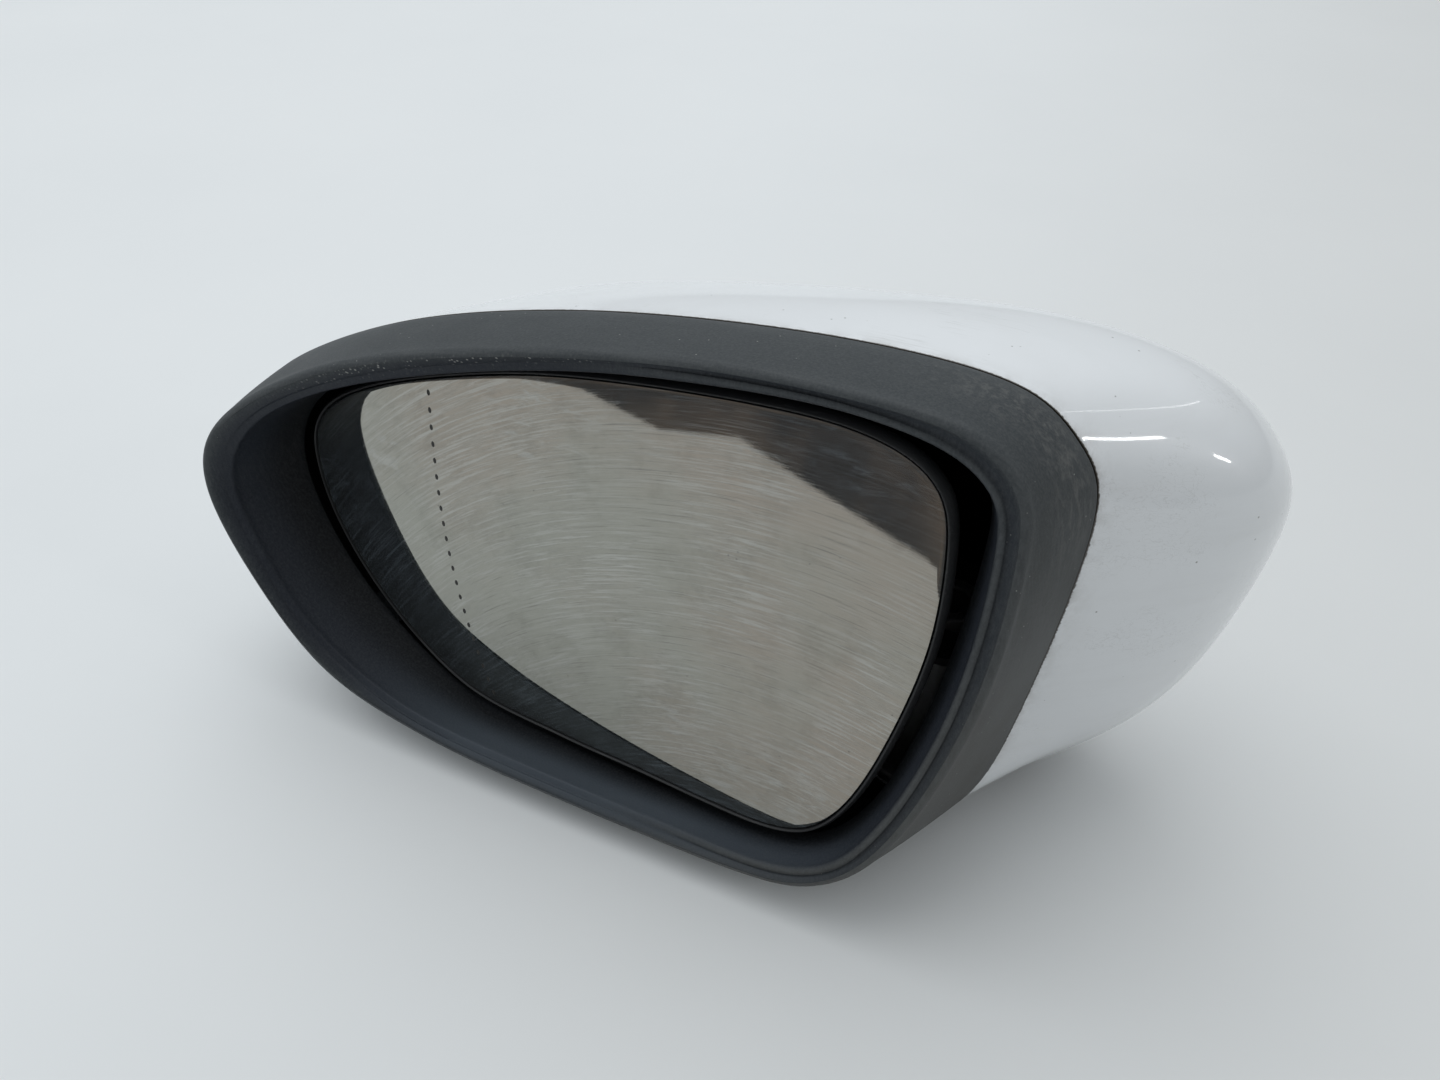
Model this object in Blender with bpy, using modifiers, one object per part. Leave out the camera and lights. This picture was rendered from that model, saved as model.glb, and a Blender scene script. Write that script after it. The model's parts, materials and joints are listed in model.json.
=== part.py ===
"""Wing mirror head, left side: painted cap, dark front bezel, powered glass and power-fold unit.

World frame: metres, +Z up, the head stands on its underside at z = 0 with its footprint centred.
Head frame: X runs inboard, Y up the glass, Z out of the mouth. Glass frame: as the head frame, but
turned towards the driver, with its origin at the point that the glass swings about.
All lengths below are in millimetres and are scaled when a mesh is made.
"""
import math

import bmesh
import bpy
from mathutils import Matrix, Vector

MM = 0.001
MERGE = 0.00001

# How the head stands: leaned back and rolled on its flat belly.
LEAN_DEG = 14.7
ROLL_DEG = 7.0
HEAD_ORIGIN = (-31.8, -49.45, 78.2)

# Glass and its drive.
PIVOT = (11.4, -6.0, -29.9)
GLASS_PITCH_DEG = 1.5
GLASS_YAW_DEG = -5.7
GLASS_LEVEL = 14.0
GLASS_RADIUS = 2000.0
ASPHERE_START = -47.0
ASPHERE_RADIUS = 2000.0
GLASS_BULGE = 2.5
GLASS_THICKNESS = 2.2
HEATER_THICKNESS = 0.7
HEATER_MARGIN = 6.0
HOLDER_THICKNESS = 2.0
HOLDER_RIM = 1.9
FIT_GAP = 0.4
DRIVE_ARM = 27.0

# Housing shells.
SHELL = 2.5
SEAM_GAP = 0.7
SPLIT_HEIGHT = 17.0
SEAM_DEPTH = 24.0
CORNER_DROP = 17.0
CORNER_ANGLE = math.radians(-27.0)
CORNER_SPREAD = math.radians(30.0)
AROUND = 60

# Fold unit, in world axes round the fold axis.
FOLD_AXIS = (74.2, 8.0)
FLANGE_RADIUS = 22.0
FLANGE_BOTTOM = 1.5
FLANGE_SCREW_CIRCLE = 16.0
POST_RADIUS = 9.0
POST_BORE = 5.0
POST_TOP = 64.0
UNIT_BOTTOM = 8.0
UNIT_TOP = 58.0
UNIT_WALL = 2.2

# Outlines in the head frame, inboard end first, anticlockwise as seen from the front.
LIP = [(131, 30), (128, 50), (108, 61), (56, 66), (-8, 61.5), (-62, 50), (-103, 29.5), (-115, 8),
       (-103, -22), (-78, -51.5), (-40, -66), (10, -74), (62, -78.5), (88, -74.5), (107, -54), (124, -12)]
CREST = [(124.5, 34), (121, 47), (106, 55.5), (75, 61), (20, 60.5), (-40, 50.5), (-85, 34), (-105, 13),
         (-99, -12), (-82, -38), (-49, -58), (-5, -66.5), (45, -71.5), (82, -70.5), (101, -52), (117, -12)]
THROAT = [(120.5, 33), (116.5, 45), (103, 53), (75, 58.5), (20, 58), (-40, 48.5), (-80, 35), (-97, 15),
          (-91.5, -11), (-71, -38), (-37, -60.5), (0, -66.5), (40, -70.5), (76, -71.5), (95.5, -55.5),
          (110.5, -18)]
SEAM = [(142, 32), (136, 51), (118, 63), (70, 68.5), (5, 67), (-55, 57), (-102, 37), (-117, 10),
        (-105, -20), (-79, -50), (-40, -64.5), (12, -73), (64, -77), (100, -75.5), (119, -63), (131, -26)]
SHOULDER = [(174, 24), (169, 45), (148, 61), (106, 69.5), (45, 70.5), (-15, 65), (-70, 50), (-103, 30),
            (-109, 8), (-96, -18), (-73, -45), (-38, -63), (12, -73), (66, -79), (100, -80), (124, -66),
            (152, -33)]
BELLY = [(184, 19), (179, 40), (160, 57), (122, 67), (60, 68), (0, 63.5), (-50, 51.5), (-84, 33),
         (-93, 10), (-80, -16), (-56, -39), (-28, -56), (18, -66.5), (68, -73.5), (106, -75), (144, -58),
         (169, -29)]
BACK = [(177, 12), (170, 32), (147, 47), (106, 54), (55, 54), (5, 46), (-35, 32), (-55, 10), (-46, -15),
        (-22, -37), (15, -53), (60, -62), (110, -67), (146, -51), (166, -26)]
GLASS = [(104, 39), (100, 50), (88, 56.8), (67.5, 60.2), (29.3, 60.6), (-10.4, 57.9), (-50, 50.6),
         (-79, 42), (-96, 32.5), (-103, 20), (-98, -3), (-79, -28.5), (-48.5, -50), (-11, -55.6),
         (17.2, -57.8), (41.4, -60.4), (59.6, -61.5), (73, -57.6), (84.5, -42.8), (95, -17.2), (102.6, 11.2)]
SHOULDER_DEPTH = 50.0
BELLY_DEPTH = 75.0
BACK_DEPTH = 98.0
POLE_DEPTH = 113.0
POLE_CENTRE = (72.0, -4.0)

PARTS = bpy.data.collections.new("wing_mirror_head")
CUTTERS = bpy.data.collections.new("wing_mirror_cutters")


def clear_scene():
    for obj in list(bpy.data.objects):
        bpy.data.objects.remove(obj, do_unlink=True)
    bpy.context.scene.collection.children.link(PARTS)
    bpy.context.scene.collection.children.link(CUTTERS)


def make_material(name, colour, roughness, metallic=0.0):
    material = bpy.data.materials.new(name)
    material.use_nodes = True
    shader = material.node_tree.nodes["Principled BSDF"]
    shader.inputs["Base Color"].default_value = (*colour, 1.0)
    shader.inputs["Roughness"].default_value = roughness
    shader.inputs["Metallic"].default_value = metallic
    return material


FINISHES = {
    "paint": ((0.80, 0.81, 0.83), 0.25, 0.0),
    "bezel": ((0.055, 0.056, 0.058), 0.6, 0.0),
    "mirror": ((0.85, 0.86, 0.87), 0.05, 1.0),
    "black": ((0.02, 0.02, 0.022), 0.55, 0.0),
    "natural": ((0.75, 0.74, 0.70), 0.5, 0.0),
    "steel": ((0.55, 0.55, 0.56), 0.35, 1.0),
    "cast": ((0.45, 0.46, 0.47), 0.5, 1.0),
    "brass": ((0.72, 0.55, 0.28), 0.35, 1.0),
    "heater": ((0.62, 0.36, 0.16), 0.5, 0.0),
}


# ---------------------------------------------------------------- frames

def make_frame(name, location, parent=None, turn=(0.0, 0.0, 0.0), order="XYZ"):
    frame = bpy.data.objects.new(name, None)
    frame.empty_display_size = 0.02
    frame.rotation_mode = order
    frame.rotation_euler = tuple(math.radians(angle) for angle in turn)
    frame.location = tuple(value * MM for value in location)
    frame.parent = parent
    PARTS.objects.link(frame)
    return frame


def head_matrix():
    """Head frame to world, in millimetres, without the origin's shift."""
    lean = Matrix.Rotation(math.radians(90.0 - LEAN_DEG), 3, "X")
    return lean @ Matrix.Rotation(math.radians(ROLL_DEG), 3, "Z")


UP_IN_HEAD = head_matrix().transposed() @ Vector((0, 0, 1))


def height(point):
    """Height of a head-frame point over the surface that the head stands on."""
    return point.dot(UP_IN_HEAD) + HEAD_ORIGIN[2]


# ---------------------------------------------------------------- outlines

def smooth_loop(points, per_span=16):
    """Closed Catmull-Rom curve through the points."""
    count = len(points)
    dense = []
    for i in range(count):
        p0, p1, p2, p3 = (Vector(points[(i + k - 1) % count]).to_2d() for k in range(4))
        for j in range(per_span):
            t = j / per_span
            dense.append(0.5 * (2 * p1 + (p2 - p0) * t + (2 * p0 - 5 * p1 + 4 * p2 - p3) * t * t
                                + (3 * p1 - p0 - 3 * p2 + p3) * t ** 3))
    return dense


def loop_centre(points):
    xs = [p[0] for p in points]
    ys = [p[1] for p in points]
    return Vector(((min(xs) + max(xs)) / 2, (min(ys) + max(ys)) / 2))


def station_angles(points, count=AROUND):
    """Angles round the outline's centre that space its samples evenly along it."""
    loop = smooth_loop(points)
    centre = loop_centre(points)
    lengths = [(loop[(i + 1) % len(loop)] - loop[i]).length for i in range(len(loop))]
    step = sum(lengths) / count
    angles = []
    travelled = 0.0
    for i, length in enumerate(lengths):
        while len(angles) * step < travelled + length and len(angles) < count:
            share = (len(angles) * step - travelled) / length
            offset = loop[i].lerp(loop[(i + 1) % len(loop)], share) - centre
            angles.append(math.atan2(offset.y, offset.x))
        travelled += length
    return angles


STATIONS = station_angles(LIP)


def sample_loop(points, angles=STATIONS, grow=0.0):
    """The outline's points at the given angles round its centre, moved outwards by grow."""
    loop = smooth_loop(points)
    centre = loop_centre(points)
    samples = []
    for angle in angles:
        ray = Vector((math.cos(angle), math.sin(angle)))
        side = Vector((-ray.y, ray.x))
        for i, start in enumerate(loop):
            a = start - centre
            b = loop[(i + 1) % len(loop)] - centre
            if a.dot(side) <= 0 < b.dot(side) and a.dot(ray) + b.dot(ray) > 0:
                share = -a.dot(side) / (b.dot(side) - a.dot(side))
                hit = a.lerp(b, share)
                samples.append(centre + hit)
                break
    if grow == 0.0:
        return samples
    grown = []
    for i, point in enumerate(samples):
        along = (samples[(i + 1) % len(samples)] - samples[i - 1]).normalized()
        grown.append(point + grow * Vector((along.y, -along.x)))
    return grown


def blend_loops(first, second, share):
    return [a.lerp(b, share) for a, b in zip(first, second)]


def at_depth(loop, depth):
    """Gives a flat loop its depth, a number or a function of (x, y)."""
    if callable(depth):
        return [Vector((p.x, p.y, depth(p.x, p.y))) for p in loop]
    return [Vector((p.x, p.y, depth)) for p in loop]


# ---------------------------------------------------------------- meshes

def finish(obj, finish_name, parent, sharp=35.0):
    colour, roughness, metallic = FINISHES[finish_name]
    obj.data.materials.clear()
    obj.data.materials.append(make_material(obj.name, colour, roughness, metallic))
    obj.parent = parent
    if obj.type == "MESH":
        obj.data.shade_smooth()
        obj.data.set_sharp_from_angle(angle=math.radians(sharp))
    return obj


def link_mesh(name, mesh, collection=None):
    obj = bpy.data.objects.new(name, mesh)
    (collection or PARTS).objects.link(obj)
    return obj


def bmesh_object(name, bm, collection=None):
    bmesh.ops.recalc_face_normals(bm, faces=bm.faces)
    mesh = bpy.data.meshes.new(name)
    bm.to_mesh(mesh)
    bm.free()
    return link_mesh(name, mesh, collection)


def loft(name, rings, closed=False, first_pole=None, last_pole=None, collection=None):
    """Skin over rings of matching points; the ends close on a pole, on each other or stay open."""
    bm = bmesh.new()
    rows = [[bm.verts.new(point * MM) for point in ring] for ring in rings]
    count = len(rings[0])
    pairs = list(zip(rows, rows[1:]))
    if closed:
        pairs.append((rows[-1], rows[0]))
    for lower, upper in pairs:
        for i in range(count):
            j = (i + 1) % count
            bm.faces.new((lower[i], lower[j], upper[j], upper[i]))
    for pole, row in ((first_pole, rows[0]), (last_pole, rows[-1])):
        if pole is not None:
            tip = bm.verts.new(Vector(pole) * MM)
            for i in range(count):
                bm.faces.new((row[i], row[(i + 1) % count], tip))
    return bmesh_object(name, bm, collection)


def turned(name, profile, steps=32, place=(0, 0, 0), turn=(0, 0, 0), collection=None):
    """A turned piece. The (radius, height) profile runs down its outer side; with a bore it closes."""
    bm = bmesh.new()
    verts = [bm.verts.new((radius * MM, 0, level * MM)) for radius, level in profile]
    for a, b in zip(verts, verts[1:]):
        bm.edges.new((a, b))
    if profile[0][0] > 0:
        bm.edges.new((verts[-1], verts[0]))
    mesh = bpy.data.meshes.new(name)
    bm.to_mesh(mesh)
    bm.free()
    obj = link_mesh(name, mesh, collection)
    screw = obj.modifiers.new("turn", "SCREW")
    screw.steps = steps
    screw.render_steps = steps
    screw.use_merge_vertices = True
    screw.merge_threshold = MERGE
    obj.location = tuple(value * MM for value in place)
    obj.rotation_euler = tuple(math.radians(angle) for angle in turn)
    return obj


def rod(name, radius, low, high, steps=24, **where):
    return turned(name, [(0, high), (radius, high), (radius, low), (0, low)], steps, **where)


def tube(name, outer, bore, low, high, steps=32, **where):
    return turned(name, [(bore, high), (outer, high), (outer, low), (bore, low)], steps, **where)


def plate(name, outlines, low, high, place=(0, 0, 0), turn=(0, 0, 0), collection=None):
    """A flat piece: the first outline is its edge, the others are holes."""
    curve = bpy.data.curves.new(name, "CURVE")
    curve.dimensions = "2D"
    curve.fill_mode = "BOTH"
    curve.extrude = (high - low) / 2 * MM
    for outline in outlines:
        spline = curve.splines.new("POLY")
        spline.points.add(len(outline) - 1)
        for point, (x, y) in zip(spline.points, outline):
            point.co = (x * MM, y * MM, 0, 1)
        spline.use_cyclic_u = True
    source = bpy.data.objects.new(name + "_curve", curve)
    bpy.context.scene.collection.objects.link(source)
    bpy.context.view_layer.update()
    mesh = bpy.data.meshes.new_from_object(source.evaluated_get(bpy.context.evaluated_depsgraph_get()))
    bpy.data.objects.remove(source, do_unlink=True)
    bm = bmesh.new()
    bm.from_mesh(mesh)
    bmesh.ops.remove_doubles(bm, verts=bm.verts, dist=MERGE)
    bmesh.ops.translate(bm, verts=bm.verts, vec=(0, 0, (low + high) / 2 * MM))
    bmesh.ops.recalc_face_normals(bm, faces=bm.faces)
    bm.to_mesh(mesh)
    bm.free()
    obj = link_mesh(name, mesh, collection)
    obj.location = tuple(value * MM for value in place)
    obj.rotation_euler = tuple(math.radians(angle) for angle in turn)
    return obj


def block(name, size, place, turn=(0, 0, 0), bevel=0.0, collection=None):
    bm = bmesh.new()
    bmesh.ops.create_cube(bm, size=1.0)
    bmesh.ops.scale(bm, vec=[side * MM for side in size], verts=bm.verts)
    obj = bmesh_object(name, bm, collection)
    if bevel:
        rounding = obj.modifiers.new("edges", "BEVEL")
        rounding.width = bevel * MM
        rounding.segments = 2
    obj.location = tuple(value * MM for value in place)
    obj.rotation_euler = tuple(math.radians(angle) for angle in turn)
    return obj


def circle(radius, centre=(0, 0), count=32):
    return [(centre[0] + radius * math.cos(2 * math.pi * i / count),
             centre[1] + radius * math.sin(2 * math.pi * i / count)) for i in range(count)]


def gear_outline(radius, teeth, depth):
    """Tooth tips at the radius, flat tips and roots of equal width."""
    points = []
    for i in range(teeth):
        for share, reach in ((-0.3, radius - depth), (-0.15, radius), (0.15, radius), (0.3, radius - depth)):
            angle = 2 * math.pi * (i + share) / teeth
            points.append((reach * math.cos(angle), reach * math.sin(angle)))
    return points


def round_circle(radius, count, first_deg):
    """Points spaced evenly round a circle, as for a ring of screws."""
    angles = [math.radians(first_deg) + 2 * math.pi * i / count for i in range(count)]
    return [(radius * math.cos(angle), radius * math.sin(angle)) for angle in angles]


def hull_of_circles(circles, count=40):
    """Outline of a belt round the given (x, y, radius) circles."""
    outline = []
    for i in range(count):
        angle = 2 * math.pi * i / count
        ray = Vector((math.cos(angle), math.sin(angle)))
        x, y, radius = max(circles, key=lambda c: ray.dot(Vector(c[:2])) + c[2])
        outline.append((x + radius * ray.x, y + radius * ray.y))
    return outline


def cut(obj, cutter, operation="DIFFERENCE"):
    if cutter.name not in CUTTERS.objects:
        CUTTERS.objects.link(cutter)
        PARTS.objects.unlink(cutter)
    cutter.hide_render = True
    cutter.display_type = "WIRE"
    boolean = obj.modifiers.new(cutter.name, "BOOLEAN")
    boolean.operation = operation
    boolean.object = cutter
    return obj


# ---------------------------------------------------------------- housing

def seam_depth(x, y):
    """The seam lies flat, but drops back at the lower inboard corner."""
    angle = math.atan2(y - loop_centre(SEAM).y, x - loop_centre(SEAM).x)
    away = (angle - CORNER_ANGLE + math.pi) % (2 * math.pi) - math.pi
    return -SEAM_DEPTH - CORNER_DROP * math.exp(-(away / CORNER_SPREAD) ** 2)


def throat_depth(x, _y):
    return -19.0 + 0.07 * x


def front_bezel(parent):
    lip = sample_loop(LIP)
    seam = sample_loop(SEAM)
    crest = sample_loop(CREST)
    throat = sample_loop(THROAT)
    band = [a.lerp(b, 0.5) for a, b in zip(at_depth(seam, seam_depth), at_depth(lip, -3.5))]
    funnel = blend_loops(crest, throat, 0.45)
    rings = [
        at_depth(seam, seam_depth),
        band,
        at_depth(lip, -3.2),
        at_depth(sample_loop(LIP, grow=-0.6), -0.9),
        at_depth(sample_loop(LIP, grow=-2.0), 0.0),
        at_depth(blend_loops(lip, crest, 0.55), -0.7),
        at_depth(sample_loop(CREST, grow=1.2), 0.0),
        at_depth(crest, -0.2),
        at_depth(sample_loop(CREST, grow=-0.9), -1.6),
        at_depth(funnel, lambda x, y: 0.45 * throat_depth(x, y)),
        at_depth(throat, throat_depth),
        at_depth(sample_loop(THROAT, grow=1.8), throat_depth),
        at_depth(blend_loops(sample_loop(CREST, grow=1.4), sample_loop(THROAT, grow=1.8), 0.45),
                 lambda x, y: 0.45 * throat_depth(x, y) - 1.5),
        at_depth(sample_loop(LIP, grow=-3.0), -4.2),
        at_depth(sample_loop(SEAM, grow=-SHELL), lambda x, y: seam_depth(x, y) + 1.5),
    ]
    return finish(loft("front_bezel", rings, closed=True), "bezel", parent, sharp=40)


def hull_rings():
    """Rings of the outer skin from the seam to the back, curved smoothly in depth."""
    keys = [at_depth(sample_loop(SEAM), lambda x, y: seam_depth(x, y) - SEAM_GAP),
            at_depth(sample_loop(SHOULDER), lambda x, y: -SHOULDER_DEPTH + 0.35 * (seam_depth(x, y) + SEAM_DEPTH)),
            at_depth(sample_loop(BELLY), -BELLY_DEPTH),
            at_depth(sample_loop(BACK), -BACK_DEPTH)]
    pole = Vector((*POLE_CENTRE, -POLE_DEPTH))
    crown = [point.lerp(pole, 0.42) for point in keys[-1]]
    for point in crown:
        point.z = -BACK_DEPTH - 0.80 * (POLE_DEPTH - BACK_DEPTH)
    cap = [point.lerp(pole, 0.6) for point in crown]
    for point in cap:
        point.z = -POLE_DEPTH + 0.3
    keys.extend([crown, cap])
    rings = []
    for i in range(len(keys) - 1):
        before = keys[max(i - 1, 0)]
        after = keys[min(i + 2, len(keys) - 1)]
        steps = 3 if i < 4 else 2
        for j in range(steps):
            t = j / steps
            ring = []
            for p0, p1, p2, p3 in zip(before, keys[i], keys[i + 1], after):
                ring.append(0.5 * (2 * p1 + (p2 - p0) * t + (2 * p0 - 5 * p1 + 4 * p2 - p3) * t * t
                                   + (3 * p1 - p0 - 3 * p2 + p3) * t ** 3))
            rings.append(ring)
    rings.append(keys[-1])
    return [[flatten(point) for point in ring] for ring in rings], pole


def flatten(point):
    """Presses the belly flat where it would reach below the surface that the head stands on."""
    return point - UP_IN_HEAD * min(height(point), 0.0)


def hull_shell(name, parent):
    rings, pole = hull_rings()
    obj = loft(name, rings, last_pole=pole)
    obj.parent = parent
    wall = obj.modifiers.new("wall", "SOLIDIFY")
    wall.thickness = SHELL * MM
    wall.offset = -1.0
    wall.use_even_offset = True
    wall.use_rim = True
    return obj


def split_block(name, above):
    """Everything above or below the joint between the cap and the lower housing, with half its gap."""
    reach = 400.0
    level = SPLIT_HEIGHT + (-SEAM_GAP / 2 if above else SEAM_GAP / 2)
    middle = level + reach / 2 if above else level - reach / 2
    return block(name, (600.0, 600.0, reach), (0, 0, middle), collection=CUTTERS)


def housing(head):
    cap = finish(hull_shell("painted_cap", head), "paint", head, sharp=40)
    cut(cap, split_block("below_cap", above=False))
    lower = finish(hull_shell("lower_housing", head), "bezel", head, sharp=40)
    cut(lower, split_block("above_lower_housing", above=True))
    cut(lower, rod("flange_hole", FLANGE_RADIUS + 1.2, -5, 12, 48, place=(*FOLD_AXIS, 0), collection=CUTTERS))


# ---------------------------------------------------------------- glass and its drive

def glass_sag(x, y):
    asphere = max(ASPHERE_START - x, 0.0)
    return GLASS_BULGE - (x * x + y * y) / (2 * GLASS_RADIUS) - asphere ** 2 / (2 * ASPHERE_RADIUS)


def dished_rings(outline, level, shares):
    """Rings of a dished sheet, each the outline shrunk towards the middle."""
    return [at_depth([point * share for point in outline], lambda x, y: level + glass_sag(x, y))
            for share in shares]


def dished_sheet(name, outline, top, thickness, shares=(1.0, 0.68, 0.34)):
    upper = dished_rings(outline, top, reversed(shares))
    lower = dished_rings(outline, top - thickness, shares)
    return loft(name, upper + lower, first_pole=(0, 0, top + GLASS_BULGE),
                last_pole=(0, 0, top - thickness + GLASS_BULGE))


def glass_stack(pivot):
    angles = station_angles(GLASS, 44)
    edge = sample_loop(GLASS, angles)
    finish(dished_sheet("mirror_glass", edge, GLASS_LEVEL, GLASS_THICKNESS), "mirror", pivot)

    heater_top = GLASS_LEVEL - GLASS_THICKNESS - FIT_GAP
    heater_edge = sample_loop(GLASS, angles, grow=-HEATER_MARGIN)
    finish(dished_sheet("heater_pad", heater_edge, heater_top, HEATER_THICKNESS), "heater", pivot)

    tray_top = heater_top - HEATER_THICKNESS - FIT_GAP
    tray_back = tray_top - HOLDER_THICKNESS
    inner = sample_loop(GLASS, angles, grow=FIT_GAP)
    outer = sample_loop(GLASS, angles, grow=HOLDER_RIM)
    hub_loop = [Vector((9.0 * math.cos(a), 9.0 * math.sin(a))) for a in angles]
    neck_loop = [Vector((5.5 * math.cos(a), 5.5 * math.sin(a))) for a in angles]
    front = dished_rings(edge, tray_top, (0.34, 0.68))
    back = dished_rings(edge, tray_back, (0.68, 0.34))
    rings = front + [
        at_depth(inner, lambda x, y: tray_top + glass_sag(x, y)),
        at_depth(inner, lambda x, y: GLASS_LEVEL + glass_sag(x, y) + 0.1),
        at_depth(sample_loop(GLASS, angles, grow=1.1), lambda x, y: GLASS_LEVEL + glass_sag(x, y) + 0.5),
        at_depth(outer, lambda x, y: GLASS_LEVEL + glass_sag(x, y) - 0.2),
        at_depth(outer, lambda x, y: tray_top + glass_sag(x, y) + 0.4),
        at_depth(edge, lambda x, y: tray_back + glass_sag(x, y)),
    ] + back + [at_depth(hub_loop, tray_back + GLASS_BULGE), at_depth(neck_loop, tray_back + GLASS_BULGE - 3.0),
                at_depth(neck_loop, -3.6)]
    holder = loft("glass_holder", rings, first_pole=(0, 0, tray_top + GLASS_BULGE), last_pole=(0, 0, -3.6))
    cut(holder, rod("hub_pin_hole", 1.6, -9, 9, 16, turn=(90, 0, 0), collection=CUTTERS))
    finish(holder, "black", pivot)
    bpy.data.objects["hub_pin_hole"].parent = pivot

    for side, x in (("1", -12.0), ("2", -20.0)):
        place = (x, -24.0, tray_back + glass_sag(x, -24.0) - 4.0)
        finish(block("heater_terminal_" + side, (4.8, 0.8, 6.4), place, bevel=0.2), "brass", pivot)


def gimbal(pivot):
    ring = tube("pivot_gimbal", 10.6, 7.6, -2.2, 2.2)
    for label, turn, low, high in (("a", (0, 90, 0), 9.6, 14.4), ("b", (0, -90, 0), 9.6, 14.4),
                                   ("c", (90, 0, 0), 4.3, 8.6), ("d", (-90, 0, 0), 4.3, 8.6)):
        pin = rod("gimbal_pin_" + label, 1.2, low, high, 16, turn=turn, collection=CUTTERS)
        pin.parent = pivot
        cut(ring, pin, "UNION")
    finish(ring, "steel", pivot)


DRIVES = (("tilt", (0.0, DRIVE_ARM), 0.0, -1), ("pan", (DRIVE_ARM, 0.0), 90.0, 1))
NUT_LEVEL = -17.0
WORM_SIDE = 13.4
SCREW_CIRCLE = 35.0
SCREW_LEVEL = -35.3


def actuator(pivot):
    cover = turned("actuator_cover", [(11.8, -5.5), (36.0, -5.5), (42.0, -10.0), (42.0, -16.6), (40.0, -16.6),
                                      (40.0, -10.8), (35.2, -7.5), (11.8, -7.5)], 44)
    for label, side in (("in", 1.0), ("out", -1.0)):
        cheek = block("gimbal_cheek_" + label, (2.6, 7.0, 10.6), (side * 13.7, 0, -2.2), collection=CUTTERS)
        cheek.parent = pivot
        cut(cover, cheek, "UNION")
    bore = rod("gimbal_bore", 1.55, -18, 18, 16, turn=(0, 90, 0), collection=CUTTERS)
    bore.parent = pivot
    cut(cover, bore)
    for name, (x, y), _spin, _side in DRIVES:
        hole = rod(name + "_plunger_hole", 4.4, -12, 0, 24, place=(x, y, 0), collection=CUTTERS)
        hole.parent = pivot
        cut(cover, hole)
    finish(cover, "black", pivot)

    base = turned("actuator_base", [(0, -26.3), (40.0, -26.3), (40.0, -17.0), (42.0, -17.0), (42.0, -24.0),
                                    (38.0, -28.3), (0, -28.3)], 44)
    finish(base, "black", pivot)

    for name, (x, y), spin, side in DRIVES:
        drive = make_frame(name + "_drive_frame", (x, y, NUT_LEVEL), pivot, turn=(0, 0, spin))
        nut = plate(name + "_nut", [gear_outline(9.6, 20, 1.2), circle(4.0)], -3.5, 3.5)
        finish(nut, "natural", drive)
        plunger = turned(name + "_plunger", [(0, 26.0), (2.2, 25.6), (3.0, 24.0), (2.2, 22.4), (2.2, 20.6),
                                             (3.3, 19.0), (3.3, -5.0), (0, -5.0)], 20)
        finish(plunger, "natural", drive)
        worm = turned(name + "_worm", worm_profile(2.8, 12.0, 4), 14, place=(6.0, side * WORM_SIDE, 0), turn=(0, 90, 0))
        finish(worm, "brass", drive)
        motor = turned(name + "_motor", [(0, 0), (3.0, 0), (3.0, -1.5), (6.4, -2.0), (6.4, -19.0), (0, -19.0)], 28,
                       place=(-7.6, side * WORM_SIDE, 0), turn=(0, 90, 0))
        finish(motor, "steel", drive)


def worm_profile(radius, length, ridges, core=0.62):
    """Ridged profile of a worm, from its top at height zero down."""
    pitch = length / ridges
    profile = [(0, 0)]
    for i in range(ridges):
        top = -i * pitch
        profile += [(radius * core, top), (radius, top - 0.3 * pitch), (radius, top - 0.6 * pitch),
                    (radius * core, top - 0.9 * pitch)]
    return profile + [(radius * core, -length), (0, -length)]


def actuator_screws(pivot):
    for i, (x, y) in enumerate(round_circle(SCREW_CIRCLE, 3, 30)):
        screw = turned("actuator_screw_%d" % (i + 1), [(0, 3.0), (3.2, 2.6), (3.2, 0.7), (0, 0.7)], 16,
                       place=(x, y, SCREW_LEVEL))
        finish(screw, "steel", pivot)


def carrier(pivot):
    outline = [(p.x, p.y) for p in sample_loop([(40, 36), (18, 46), (-20, 47), (-58, 38), (-76, 20), (-72, -8),
                                               (-50, -34), (-18, -44), (12, -42), (30, -32), (42, 0)])]
    holes = [circle(11.0, (-54, 10), 24), circle(8.0, (-44, -18), 20), circle(24.0, (0, 0), 32)]
    holes += [circle(2.4, spot, 12) for spot in round_circle(SCREW_CIRCLE, 3, 30)]
    finish(plate("carrier_frame", [outline] + holes, -31.6, -28.7), "black", pivot)


# ---------------------------------------------------------------- fold unit

MOTOR_SPOT = (-30.0, 13.5)
WORM_LINE = -20.3
GEAR_LEVEL = 22.0


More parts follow.
